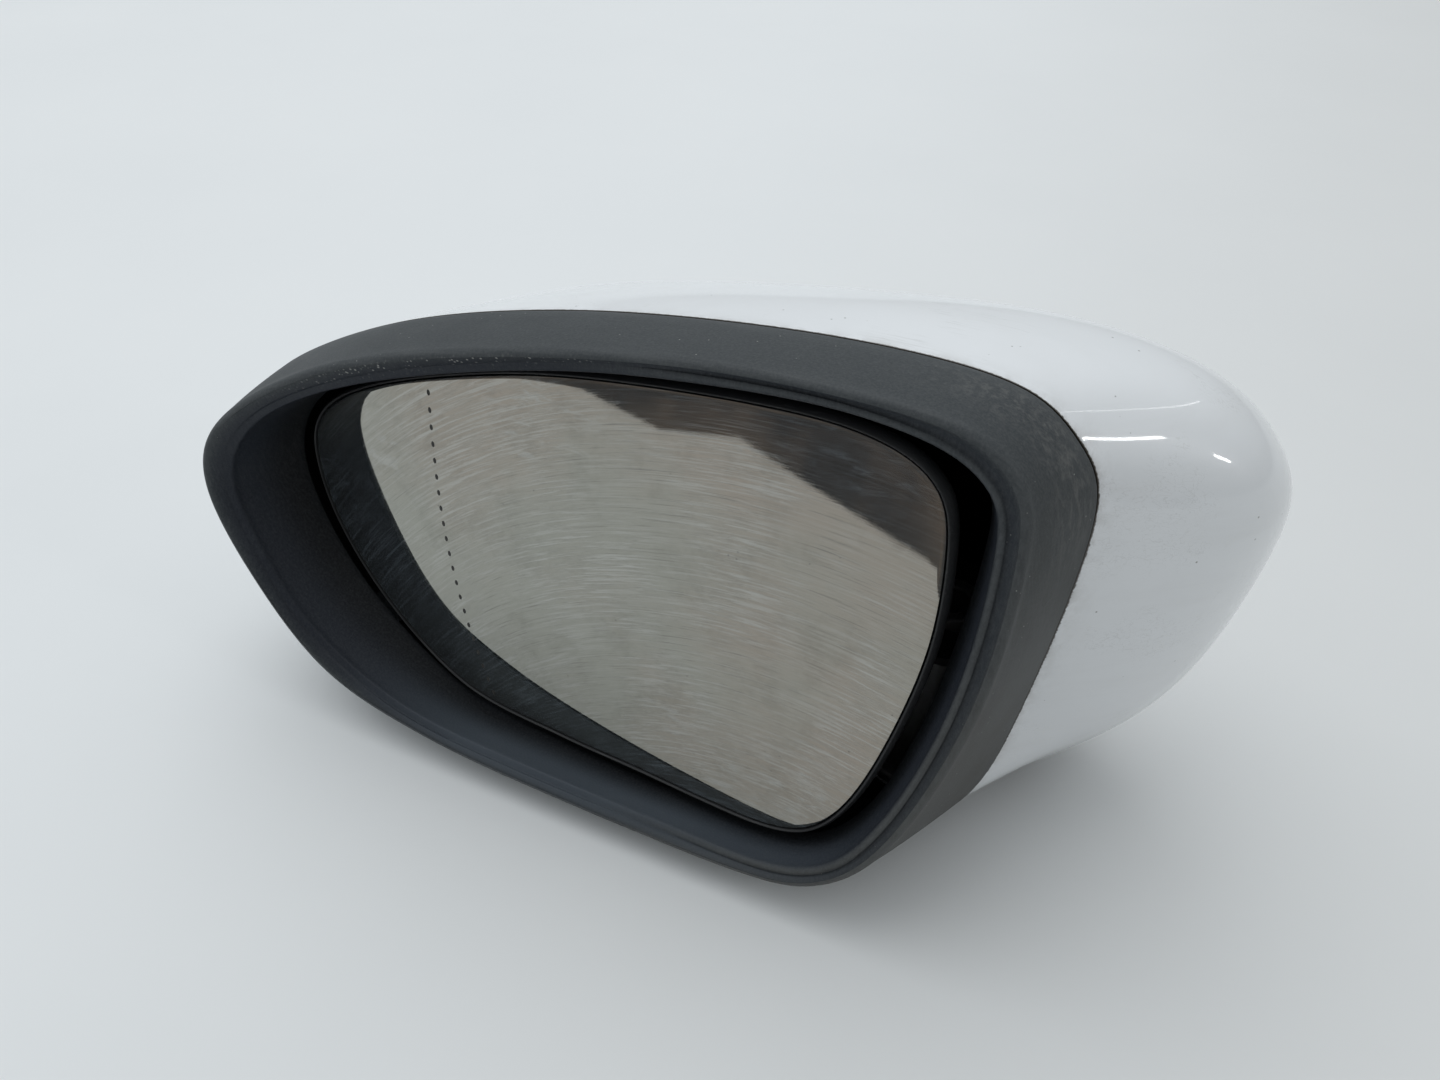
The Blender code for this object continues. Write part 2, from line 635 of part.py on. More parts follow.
def fold_unit():
    unit = make_frame("fold_frame", (*FOLD_AXIS, 0))
    post = turned("fold_post", [(POST_BORE, POST_TOP), (POST_RADIUS - 0.8, POST_TOP), (POST_RADIUS, POST_TOP - 0.8),
                                (POST_RADIUS, FLANGE_BOTTOM + 5), (FLANGE_RADIUS - 1, FLANGE_BOTTOM + 4.2),
                                (FLANGE_RADIUS, FLANGE_BOTTOM + 3), (FLANGE_RADIUS, FLANGE_BOTTOM),
                                (POST_BORE, FLANGE_BOTTOM)], 36)
    for i, (x, y) in enumerate(round_circle(FLANGE_SCREW_CIRCLE, 3, 90)):
        hole = rod("flange_screw_hole_%d" % (i + 1), 2.7, -2, 9, 16, place=(x, y, 0), collection=CUTTERS)
        hole.parent = unit
        cut(post, hole)
    finish(post, "cast", unit)

    case_line = ((0, 0, 20.5), (-30.5, 7.5, 17.5))
    outer = hull_of_circles(case_line)
    inner = hull_of_circles([(x, y, radius - UNIT_WALL) for x, y, radius in case_line])
    case = plate("fold_housing", [outer], UNIT_BOTTOM, UNIT_TOP)
    hollow = plate("fold_hollow", [inner], UNIT_BOTTOM + UNIT_WALL, UNIT_TOP + 5, collection=CUTTERS)
    hollow.parent = unit
    cut(case, hollow)
    way = rod("post_way", POST_RADIUS + 0.6, 0, 20, 32, collection=CUTTERS)
    way.parent = unit
    cut(case, way)
    finish(case, "cast", unit)
    lid = plate("fold_cover", [outer, circle(POST_RADIUS + 0.6)], UNIT_TOP + 0.4, UNIT_TOP + 2.9)
    finish(lid, "black", unit)

    finish(tube("fold_detent_ring", 16.0, POST_RADIUS + 0.5, UNIT_BOTTOM + 3.0, UNIT_BOTTOM + 7.0), "steel", unit)
    gear = plate("fold_gear", [gear_outline(16.4, 34, 1.4), circle(POST_RADIUS + 0.4)], GEAR_LEVEL - 3, GEAR_LEVEL + 3)
    finish(gear, "steel", unit)
    finish(tube("fold_spring_seat", 15.5, POST_RADIUS + 0.5, 50.0, 52.0), "steel", unit)
    fold_spring(unit, 28.0, 47.5)

    shaft = [(0, 18.6), (1.6, 18.6), (1.6, 17.6), (6.6, 17.6), (6.6, 11.8), (1.6, 11.8), (1.6, 7.6)]
    shaft += [(radius, level + 7.0) for radius, level in worm_profile(3.3, 14.0, 4)[1:-1]]
    shaft += [(1.6, -7.4), (1.6, -9.5), (0, -9.5)]
    finish(turned("fold_worm", shaft, 16, place=(WORM_LINE, 0, GEAR_LEVEL), turn=(-90, 0, 0)), "brass", unit)

    x, y = MOTOR_SPOT
    finish(turned("fold_motor", [(0, 25), (8.2, 25), (8.2, 2), (4, 1.5), (4, 0), (0, 0)], 32, place=(x, y, 31)),
           "steel", unit)
    finish(turned("fold_motor_worm", worm_profile(2.6, 13.0, 4), 14, place=(x, y, 29.5)), "brass", unit)


def fold_spring(unit, low, high):
    turns = 5
    per_turn = 12
    curve = bpy.data.curves.new("fold_spring", "CURVE")
    curve.dimensions = "3D"
    curve.bevel_depth = 1.1 * MM
    curve.bevel_resolution = 1
    curve.use_fill_caps = True
    spline = curve.splines.new("POLY")
    count = turns * per_turn + 1
    spline.points.add(count - 1)
    for i, point in enumerate(spline.points):
        angle = 2 * math.pi * i / per_turn
        level = low + (high - low) * i / (count - 1)
        point.co = (13.0 * math.cos(angle) * MM, 13.0 * math.sin(angle) * MM, level * MM, 1)
    spring = bpy.data.objects.new("fold_spring", curve)
    PARTS.objects.link(spring)
    finish(spring, "steel", unit)


def connector(head):
    socket = block("connector_socket", (24.0, 14.0, 18.0), (-22.0, -22.0, -77.5), bevel=1.0)
    recess = block("socket_recess", (20.0, 10.0, 20.0), (-22.0, -22.0, -84.0), collection=CUTTERS)
    recess.parent = head
    cut(socket, recess)
    finish(socket, "black", head)


def build():
    clear_scene()
    head = make_frame("head_frame", HEAD_ORIGIN, turn=(90.0 - LEAN_DEG, 0.0, ROLL_DEG), order="ZYX")
    pivot = make_frame("glass_pivot_frame", PIVOT, head, turn=(GLASS_PITCH_DEG, GLASS_YAW_DEG, 0.0))
    front_bezel(head)
    housing(head)
    glass_stack(pivot)
    gimbal(pivot)
    actuator(pivot)
    actuator_screws(pivot)
    carrier(pivot)
    fold_unit()
    connector(head)


build()
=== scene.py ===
"""Looks of the wing mirror head: fine shells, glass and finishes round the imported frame."""
import json
import math

import bmesh
import bpy
import numpy as np
from mathutils import Matrix, Vector
from mathutils.bvhtree import BVHTree


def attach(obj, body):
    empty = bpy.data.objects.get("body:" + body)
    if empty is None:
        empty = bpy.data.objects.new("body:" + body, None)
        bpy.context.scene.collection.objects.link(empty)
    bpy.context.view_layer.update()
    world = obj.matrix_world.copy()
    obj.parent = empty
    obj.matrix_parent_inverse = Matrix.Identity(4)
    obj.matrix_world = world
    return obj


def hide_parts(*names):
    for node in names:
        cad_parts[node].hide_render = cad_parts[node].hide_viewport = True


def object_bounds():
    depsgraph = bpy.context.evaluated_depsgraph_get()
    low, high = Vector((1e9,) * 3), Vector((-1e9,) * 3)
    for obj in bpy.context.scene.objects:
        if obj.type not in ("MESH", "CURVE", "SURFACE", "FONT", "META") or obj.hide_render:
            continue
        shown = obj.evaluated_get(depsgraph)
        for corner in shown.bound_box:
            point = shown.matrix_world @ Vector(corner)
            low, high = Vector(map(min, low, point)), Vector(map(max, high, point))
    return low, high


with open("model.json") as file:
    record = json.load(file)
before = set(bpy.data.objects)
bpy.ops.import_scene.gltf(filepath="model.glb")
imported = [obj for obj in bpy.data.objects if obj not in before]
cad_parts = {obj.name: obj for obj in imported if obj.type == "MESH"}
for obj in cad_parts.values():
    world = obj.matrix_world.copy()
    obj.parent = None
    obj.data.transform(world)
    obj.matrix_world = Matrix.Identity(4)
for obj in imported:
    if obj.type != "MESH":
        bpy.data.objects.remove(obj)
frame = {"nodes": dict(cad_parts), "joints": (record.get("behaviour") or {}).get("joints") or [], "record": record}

CAD_LOW, CAD_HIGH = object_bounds()
MM = 0.001

# Sizes in millimetres in the head frame: X inboard, Y up the glass, Z out of the mouth.
# The glass turns about PIVOT, and its own sizes are in the frame that turns with it.
PIVOT = np.array((11.4, -6.0, -29.9))
GLASS_YAW = math.radians(-5.7)
GLASS_PITCH = math.radians(1.5)
GLASS_LEVEL = 14.0
GLASS_RADIUS = 2000.0
GLASS_BULGE = 2.5
GLASS_THICKNESS = 2.2
HEATER_THICKNESS = 0.7
HOLDER_THICKNESS = 2.0
FIT_GAP = 0.4
ASPHERE_START = -47.0
ASPHERE_RADIUS = 2000.0
SHELL = 2.5
SEAM_GAP = 0.5
SPLIT_HEIGHT = 17.0
SEAM_DEPTH = 24.0
CORNER_DROP = 17.0
CORNER_ANGLE = math.radians(-27.0)
CORNER_SPREAD = math.radians(30.0)
FLANGE_RADIUS = 22.0
TONGUE = 2.6
THROAT_SKIRT = 2.5
CREST_LEVEL = -2.1

# Outlines, counterclockwise: the bezel's from its lip in, then the outer skin's from the seam back.
LIP = [(131, 30), (128, 50), (108, 61), (56, 66), (-8, 61.5), (-62, 50), (-103, 29.5), (-115, 8),
       (-103, -22), (-78, -51.5), (-40, -66), (10, -74), (62, -78.5), (88, -74.5), (107, -54), (124, -12)]
CREST = [(124.5, 34), (121, 47), (106, 55.5), (75, 61), (20, 60.5), (-40, 50.5), (-85, 34), (-105, 13),
         (-99, -12), (-82, -38), (-49, -58), (-5, -66.5), (45, -71.5), (82, -70.5), (101, -52), (117, -12)]
THROAT = [(120.5, 33), (116.5, 45), (103, 53), (75, 58.5), (20, 58), (-40, 48.5), (-80, 35), (-97, 15),
          (-91.5, -11), (-71, -38), (-37, -60.5), (0, -66.5), (40, -70.5), (76, -71.5), (95.5, -55.5),
          (110.5, -18)]
SEAM = [(142, 32), (136, 51), (118, 63), (70, 68.5), (5, 67), (-55, 57), (-102, 37), (-117, 10),
        (-105, -20), (-79, -50), (-40, -64.5), (12, -73), (64, -77), (100, -75.5), (119, -63), (131, -26)]
SHOULDER = [(174, 24), (169, 45), (148, 61), (106, 69.5), (45, 70.5), (-15, 65), (-70, 50), (-103, 30),
            (-109, 8), (-96, -18), (-73, -45), (-38, -63), (12, -73), (66, -79), (100, -80), (124, -66),
            (152, -33)]
BELLY = [(184, 19), (179, 40), (160, 57), (122, 67), (60, 68), (0, 63.5), (-50, 51.5), (-84, 33),
         (-93, 10), (-80, -16), (-56, -39), (-28, -56), (18, -66.5), (68, -73.5), (106, -75), (144, -58),
         (169, -29)]
BACK = [(177, 12), (170, 32), (147, 47), (106, 54), (55, 54), (5, 46), (-35, 32), (-55, 10), (-46, -15),
        (-22, -37), (15, -53), (60, -62), (110, -67), (146, -51), (166, -26)]
GLASS = [(104, 39), (100, 50), (88, 56.8), (67.5, 60.2), (29.3, 60.6), (-10.4, 57.9), (-50, 50.6),
         (-79, 42), (-96, 32.5), (-103, 20), (-98, -3), (-79, -28.5), (-48.5, -50), (-11, -55.6),
         (17.2, -57.8), (41.4, -60.4), (59.6, -61.5), (73, -57.6), (84.5, -42.8), (95, -17.2), (102.6, 11.2)]
SHOULDER_DEPTH = 50.0
BELLY_DEPTH = 75.0
BACK_DEPTH = 98.0
POLE_DEPTH = 113.0
POLE_CENTRE = (72.0, -4.0)

# The row of printed dots: its top, its line across, how it bows below a level, and its pitch.
MARKS = 21
MARKS_TOP = 47.3
MARKS_ACROSS = -48.7
MARKS_LEVEL = 17.0
MARKS_BOW = 0.0026
MARKS_STEP = 4.85
MARKS_STRETCH = 0.0075

# Points round each outline and on each span of its first curve, and how far a bend is eased.
AROUND = 288
AROUND_GLASS = 240
PER_SPAN = 32
EASING = 4.0

# How far the bezel's outlines swell on its inboard side.
LIP_GROWTH = 1.6
CREST_GROWTH = 2.8
THROAT_GROWTH = 1.2

# Spans round the bezel, in degrees of bearing: the middle, the reach to each side and its fade.
INBOARD = (-12, 58, 40)
COVED = (2, 92, 48)
SKIRTED = (40, 112, 22)
OVER_GLASS = (92, 70, 40)
# The span where the band takes dust and a painted warm bounce.
DUSTY_BOUNCE = (-30, 62, 45)
LINTY = (112, 46, 26)
SCUFFED = (24, 17, 12)
# The span on the mouth's lower side that takes painted light as a dusty film.
LIT_POWDER = (-90, 68, 40)

# Where marks lie across the bezel, counted in key rings: the middle and the spread.
SCUFF_ROWS = (3.2, 1.3)
LINT_ROWS = (11.5, 2.0)
# The rows down the funnel over which painted shade deepens.
FUNNEL_SHADE_ROWS = (17.3, 2.4)

# Viewpoint, as an orbit round the head frame's origin: shifted right and up, in millimetres.
VIEW_AZIMUTH = math.radians(25.0)
VIEW_ELEVATION = math.radians(25.0)
VIEW_DISTANCE = 290.57
VIEW_SHIFT = (55.1, 9.44)
LENS = 27.025

# Studio, in metres and watts. A tube has its direction from the cap in degrees (azimuth and
# elevation), its size, its roll and its power.
WORLD_STRENGTH = 0.73
WINDOW_PLACE = (-1.0, 0.7, 3.4)
WINDOW_SIZE = (3.8, 3.2)
WINDOW_POWER = 53.0
TUBES = {
    "near_tube": (-3.0, 33.5, (0.21, 0.034), 4.0, 0.75),
    "end_tube": (6.5, 21.0, (0.16, 0.055), -50.0, 0.7),
    "far_tube": (37.0, 40.0, (1.05, 0.016), -36.0, 0.22),
}
TUBE_DISTANCE = 1.6
TUBE_TARGET = (0.10, 0.0, 0.13)
TABLE_TARGET = (0.0, 0.0, 0.05)
FLOOR_HALF = 3.0
ROOM_EDGE = ((-1.6, -0.85), (-0.49, -0.57), (-0.33, -0.535), (-0.30, -0.64), (-0.02, -0.45),
             (0.9, -0.25))
ROOM_HEIGHT = 0.85


# -------------------------------- frames

def unit(vector):
    vector = np.asarray(vector, float)
    return vector / np.linalg.norm(vector)


def joint(name):
    return next(row for row in frame["joints"] if row["name"] == name)


def turn_about_x(angle):
    c, s = math.cos(angle), math.sin(angle)
    return np.array(((1, 0, 0), (0, c, -s), (0, s, c)))


def turn_about_y(angle):
    c, s = math.cos(angle), math.sin(angle)
    return np.array(((c, 0, s), (0, 1, 0), (-s, 0, c)))


GLASS_ORIGIN = np.array(joint("glass_tilt")["pos_m"])
GLASS_X = unit(joint("glass_tilt")["axis"])
GLASS_Y = unit(joint("glass_pan")["axis"])
GLASS_AXES = np.column_stack((GLASS_X, GLASS_Y, np.cross(GLASS_X, GLASS_Y)))
HEAD_AXES = GLASS_AXES @ turn_about_x(-GLASS_PITCH) @ turn_about_y(-GLASS_YAW)
HEAD_ORIGIN = GLASS_ORIGIN - HEAD_AXES @ (PIVOT * MM)
UP_IN_HEAD = HEAD_AXES.T @ np.array((0.0, 0.0, 1.0))
FOLD_CENTRE = np.array(joint("head_fold")["pos_m"][:2]) / MM


def from_head(points):
    return np.asarray(points) * MM @ HEAD_AXES.T + HEAD_ORIGIN


def from_glass(points):
    return np.asarray(points) * MM @ GLASS_AXES.T + GLASS_ORIGIN


# -------------------------------- outlines

def catmull(p0, p1, p2, p3, t):
    """Catmull-Rom curve from p1 to p2."""
    return 0.5 * (2 * p1 + (p2 - p0) * t + (2 * p0 - 5 * p1 + 4 * p2 - p3) * t ** 2
                  + (3 * p1 - p0 - 3 * p2 + p3) * t ** 3)


def evenly_along(loop, count):
    """Points spaced evenly along a closed loop: as many as given, or one for each millimetre."""
    closed = np.vstack((loop, loop[:1]))
    travelled = np.concatenate(((0.0,), np.cumsum(np.linalg.norm(np.diff(closed, axis=0), axis=1))))
    count = count or int(travelled[-1])
    marks = np.arange(count) * travelled[-1] / count
    return np.column_stack([np.interp(marks, travelled, closed[:, k]) for k in (0, 1)])


def smooth_loop(points):
    """Closed curve through the points, its bends eased over EASING millimetres along it."""
    p = np.array(points, float)[:, None, :]
    t = (np.arange(PER_SPAN) / PER_SPAN)[None, :, None]
    curve = catmull(np.roll(p, 1, 0), p, np.roll(p, -1, 0), np.roll(p, -2, 0), t).reshape(-1, 2)
    even = evenly_along(curve, None)
    reach = int(3 * EASING)
    weights = np.exp(-0.5 * (np.arange(-reach, reach + 1) / EASING) ** 2)
    return sum(w * np.roll(even, k - reach, 0) for k, w in enumerate(weights)) / weights.sum()


def loop_centre(points):
    p = np.array(points, float)
    return (p.min(0) + p.max(0)) / 2


def station_angles(points, count=AROUND):
    """Angles round the outline's centre that space its samples evenly along it."""
    offset = evenly_along(smooth_loop(points), count) - loop_centre(points)
    return np.arctan2(offset[:, 1], offset[:, 0])


STATIONS = station_angles(LIP)


def push_out(loop, grow):
    """Moves a loop outwards by grow, a number or one value for each point."""
    along = np.roll(loop, -1, 0) - np.roll(loop, 1, 0)
    along /= np.linalg.norm(along, axis=1)[:, None]
    return loop + np.reshape(grow, (-1, 1)) * np.column_stack((along[:, 1], -along[:, 0]))


def sample(points, angles=STATIONS):
    """The outline's points at the given angles round its centre."""
    centre = loop_centre(points)
    offset = smooth_loop(points) - centre
    theta = np.arctan2(offset[:, 1], offset[:, 0])
    radius = np.interp(angles, theta, np.hypot(offset[:, 0], offset[:, 1]), period=2 * math.pi)
    return centre + radius[:, None] * np.column_stack((np.cos(angles), np.sin(angles)))


def at_depth(loop, depth):
    """Gives a flat loop its depth, a number or one value for each point."""
    return np.column_stack((loop, np.broadcast_to(depth, len(loop))))


def seam_depth(loop):
    """The seam lies flat, but drops back at the lower inboard corner."""
    offset = loop - loop_centre(SEAM)
    angle = np.arctan2(offset[:, 1], offset[:, 0])
    away = (angle - CORNER_ANGLE + math.pi) % (2 * math.pi) - math.pi
    return -SEAM_DEPTH - CORNER_DROP * np.exp(-(away / CORNER_SPREAD) ** 2)


def throat_depth(loop):
    """The funnel ends deeper outboard, beside the outer end of the turned glass."""
    return -19.0 + 0.07 * loop[:, 0]


def glass_sag(loop):
    """Level of the glass's surface: a sphere, with more curve outboard of ASPHERE_START."""
    asphere = np.maximum(ASPHERE_START - loop[:, 0], 0.0)
    sphere = GLASS_BULGE - (loop ** 2).sum(1) / (2 * GLASS_RADIUS)
    return sphere - asphere ** 2 / (2 * ASPHERE_RADIUS)


# -------------------------------- meshes

def through_rings(keys, steps):
    """Rings on Catmull-Rom curves through the key rings; steps is how many rings each span gets."""
    keys = [np.asarray(key, float) for key in keys]
    rings = []
    for i, count in enumerate(steps):
        around = [keys[min(max(i + k, 0), len(keys) - 1)] for k in (-1, 0, 1, 2)]
        rings += [catmull(*around, j / count) for j in range(count)]
    rings.append(keys[-1])
    return rings


def quads(low, high, count):
    """Faces between two rows of vertices, which start at low and at high."""
    return [(low + i, low + (i + 1) % count, high + (i + 1) % count, high + i) for i in range(count)]


def linked(name, data):
    """An object in the scene for a mesh, a lamp or a camera."""
    obj = bpy.data.objects.new(name, data)
    bpy.context.scene.collection.objects.link(obj)
    return obj


def write_values(mesh, key, values):
    """Holds a value at each vertex, for the finishes to read."""
    layer = mesh.attributes.new(key, "FLOAT", "POINT")
    layer.data.foreach_set("value", np.asarray(values, np.float32))


def mesh_object(name, verts, faces, attributes=None):
    mesh = bpy.data.meshes.new(name)
    mesh.from_pydata([tuple(v) for v in verts], [], faces)
    for key, values in (attributes or {}).items():
        write_values(mesh, key, values)
    bm = bmesh.new()
    bm.from_mesh(mesh)
    bmesh.ops.recalc_face_normals(bm, faces=bm.faces)
    bm.to_mesh(mesh)
    bm.free()
    return linked(name, mesh)


def loft(name, rings, closed=False, first_pole=None, last_pole=None, attributes=None):
    """Skin over rings of matching points in metres; poles, or the rings' own ends, close it."""
    count = len(rings[0])
    rows = len(rings)
    verts = list(np.vstack(rings))
    faces = []
    for k in range(rows if closed else rows - 1):
        faces += quads(k * count, (k + 1) % rows * count, count)
    for pole, row in ((first_pole, 0), (last_pole, (rows - 1) * count)):
        if pole is not None:
            faces += [(row + i, row + (i + 1) % count, len(verts)) for i in range(count)]
            verts.append(np.asarray(pole, float))
    values = {}
    for key, per_vertex in (attributes or {}).items():
        values[key] = np.concatenate((per_vertex, np.zeros(len(verts) - len(per_vertex))))
    return mesh_object(name, verts, faces, values)


def turned(name, profile, steps, centre):
    """A turned piece on an upright axis, from a closed (radius, height) profile in millimetres."""
    angles = 2 * math.pi * np.arange(steps) / steps
    ring = np.column_stack((np.cos(angles), np.sin(angles)))
    rings = [at_depth(ring * radius + centre, level) * MM for radius, level in profile]
    return loft(name, rings, closed=True)


def apply_modifiers(obj):
    """Puts the modifiers' result in the mesh."""
    bpy.context.view_layer.update()
    mesh = bpy.data.meshes.new_from_object(obj.evaluated_get(bpy.context.evaluated_depsgraph_get()))
    obj.modifiers.clear()
    obj.data = mesh
    return obj


def carve(obj, *cutters):
    """Cuts the cutters out of the piece and removes them."""
    for cutter in cutters:
        boolean = obj.modifiers.new(cutter.name, "BOOLEAN")
        boolean.operation = "DIFFERENCE"
        boolean.object = cutter
    apply_modifiers(obj)
    for cutter in cutters:
        bpy.data.objects.remove(cutter, do_unlink=True)
    return obj


def keep_in_box(obj):
    """Trims the hair's breadth by which a finer curve passes the solid's box."""
    co = np.zeros(len(obj.data.vertices) * 3, np.float32)
    obj.data.vertices.foreach_get("co", co)
    co = np.clip(co.reshape(-1, 3), np.array(CAD_LOW), np.array(CAD_HIGH))
    obj.data.vertices.foreach_set("co", co.astype(np.float32).ravel())
    obj.data.update()
    return obj


def complete(obj, body, slot_name, nodes, sharp=40.0):
    """Shades a piece, gives it its slot's finish, and puts it on its body in place of the nodes."""
    keep_in_box(obj)
    obj.data.shade_smooth()
    obj.data.set_sharp_from_angle(angle=math.radians(sharp))
    obj.data.materials.clear()
    obj.data.materials.append(FINISHES[slot_name])
    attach(obj, body)
    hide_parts(*nodes)
    return obj


# -------------------------------- finishes

# The spot round which a cloth was swung over the glass, in metres in the glass's frame.
WIPE_CENTRE = (0.052, -0.150)


class Nodes:
    """Short calls for the nodes of a tree, which start from one set of its coordinates."""

    def __init__(self, tree, coordinates):
        self.tree = tree
        self.place = self.add("ShaderNodeTexCoord").outputs[coordinates]

    def add(self, kind, inputs=None, **settings):
        node = self.tree.nodes.new(kind)
        for key, value in settings.items():
            setattr(node, key, value)
        for key, value in (inputs or {}).items():
            self.feed(node.inputs[key], value)
        return node

    def feed(self, socket, value):
        if isinstance(value, bpy.types.NodeSocket):
            self.tree.links.new(value, socket)
        elif isinstance(value, tuple) and len(value) == 3 and len(socket.default_value) == 4:
            socket.default_value = (*value, 1.0)
        else:
            socket.default_value = value

    def value_of(self, name):
        """A value that the mesh holds at each vertex, or none where it holds no such value."""
        return self.add("ShaderNodeAttribute", attribute_name=name).outputs["Fac"]

    def stretch(self, scale, turn=(0.0, 0.0, 0.0), vector=None):
        inputs = {"Vector": vector or self.place, "Rotation": turn, "Scale": scale}
        return self.add("ShaderNodeMapping", inputs).outputs["Vector"]

    def noise(self, scale, detail, rough=0.55, vector=None, warp=0.0):
        inputs = {"Vector": vector or self.place, "Scale": scale, "Detail": detail,
                  "Roughness": rough, "Distortion": warp}
        return self.add("ShaderNodeTexNoise", inputs).outputs["Fac"]

    def cells(self, scale):
        inputs = {"Vector": self.place, "Scale": scale}
        return self.add("ShaderNodeTexVoronoi", inputs).outputs["Distance"]

    def math(self, operation, first, second=0.0):
        inputs = {0: first, 1: second}
        return self.add("ShaderNodeMath", inputs, operation=operation).outputs["Value"]

    def fit(self, value, low, high, to_low=0.0, to_high=1.0):
        """Maps low..high smoothly to to_low..to_high."""
        inputs = {"Value": value, "From Min": low, "From Max": high, "To Min": to_low,
                  "To Max": to_high}
        node = self.add("ShaderNodeMapRange", inputs, interpolation_type="SMOOTHSTEP")
        return node.outputs["Result"]

    def mix(self, share, first, second):
        """Blends two colours; each is a socket or three numbers."""
        inputs = {"Factor": share, 6: first, 7: second}
        return self.add("ShaderNodeMix", inputs, data_type="RGBA").outputs[2]

    def bump(self, height, strength, depth, below=None):
        inputs = {"Height": height, "Strength": strength, "Distance": depth}
        if below:
            inputs["Normal"] = below
        return self.add("ShaderNodeBump", inputs).outputs["Normal"]

    def specks(self, scale, size, rarity):
        """Small round marks on the share of cells that a broad noise lets through."""
        near = self.fit(self.cells(scale), size, size * 0.5)
        kept = self.fit(self.noise(scale * 0.31, 2.0), rarity, rarity + 0.04)
        return self.math("MULTIPLY", near, kept)

    def scratches(self, length_scale, cross_scale, turn, low, high):
        """Thin lines: a noise that is long one way and short the other, sliced near its middle."""
        along = self.stretch((length_scale, cross_scale, cross_scale), turn)
        lines = self.noise(1.0, 2.0, 0.5, along, 0.3)
        apart = self.math("ABSOLUTE", self.math("SUBTRACT", lines, 0.5))
        kept = self.fit(self.noise(45.0, 2.0), 0.5, 0.62)
        return self.math("MULTIPLY", self.fit(apart, high, low), kept)


class Finish(Nodes):
    """A Principled material and the nodes that feed it."""

    def __init__(self, name, **constants):
        self.material = bpy.data.materials.new(name)
        self.material.use_nodes = True
        super().__init__(self.material.node_tree, "Object")
        self.shader = self.tree.nodes["Principled BSDF"]
        for key, value in constants.items():
            self.shader.inputs[key.replace("_", " ")].default_value = value

    def set(self, name, value):
        self.feed(self.shader.inputs[name], value)


def gloss_paint():
    """White gloss under a thin film of dirt, with hair scratches, spots and a dark moulded inside."""
    paint = Finish("white_gloss_paint", Coat_Roughness=0.045)
    broad = paint.noise(9.0, 3.0)
    colour = paint.mix(broad, (0.735, 0.758, 0.780), (0.785, 0.803, 0.822))
    drag = paint.noise(1.0, 5.0, 0.6, paint.stretch((30.0, 30.0, 160.0), (0.5, 0.3, 0.2)), 0.3)
    film = paint.math("MULTIPLY", paint.fit(drag, 0.40, 0.90), 0.20)
    colour = paint.mix(film, colour, (0.60, 0.605, 0.60))
    marks = paint.scratches(14.0, 520.0, (0.4, 0.2, 0.9), 0.0, 0.016)
    more = paint.scratches(18.0, 640.0, (1.2, 0.7, 0.3), 0.0, 0.013)
    lines = paint.math("MAXIMUM", marks, more)
    colour = paint.mix(paint.math("MULTIPLY", lines, 0.35), colour, (0.50, 0.51, 0.51))
    dirt = paint.specks(95.0, 0.075, 0.60)
    fine_dirt = paint.specks(260.0, 0.10, 0.57)
    spots = paint.math("MAXIMUM", dirt, fine_dirt)
    colour = paint.mix(paint.math("MULTIPLY", spots, 0.75), colour, (0.12, 0.115, 0.10))
    grimy = paint.fit(paint.noise(150.0, 5.0, 0.7), 0.38, 0.62)
    edge = paint.math("MULTIPLY", paint.value_of("edge"), grimy)
    colour = paint.mix(paint.math("MULTIPLY", edge, 0.45), colour, (0.34, 0.33, 0.31))
    ragged = paint.fit(paint.noise(900.0, 3.0, 0.7), 0, 1, -0.10, 0.10)
    rim = paint.fit(paint.math("ADD", paint.value_of("edge"), ragged), 0.84, 0.93)
    colour = paint.mix(rim, colour, (0.050, 0.042, 0.033))
    inside = paint.value_of("inside")
    colour = paint.mix(inside, colour, (0.012, 0.012, 0.013))
    paint.set("Coat Weight", paint.fit(inside, 0.0, 1.0, 1.0, 0.0))
    paint.set("Base Color", colour)
    paint.set("Roughness", paint.fit(paint.noise(60.0, 5.0), 0.2, 0.9, 0.30, 0.40))
    paint.set("Normal", paint.bump(paint.noise(240.0, 2.0), 0.05, 0.00002))
    return paint.material


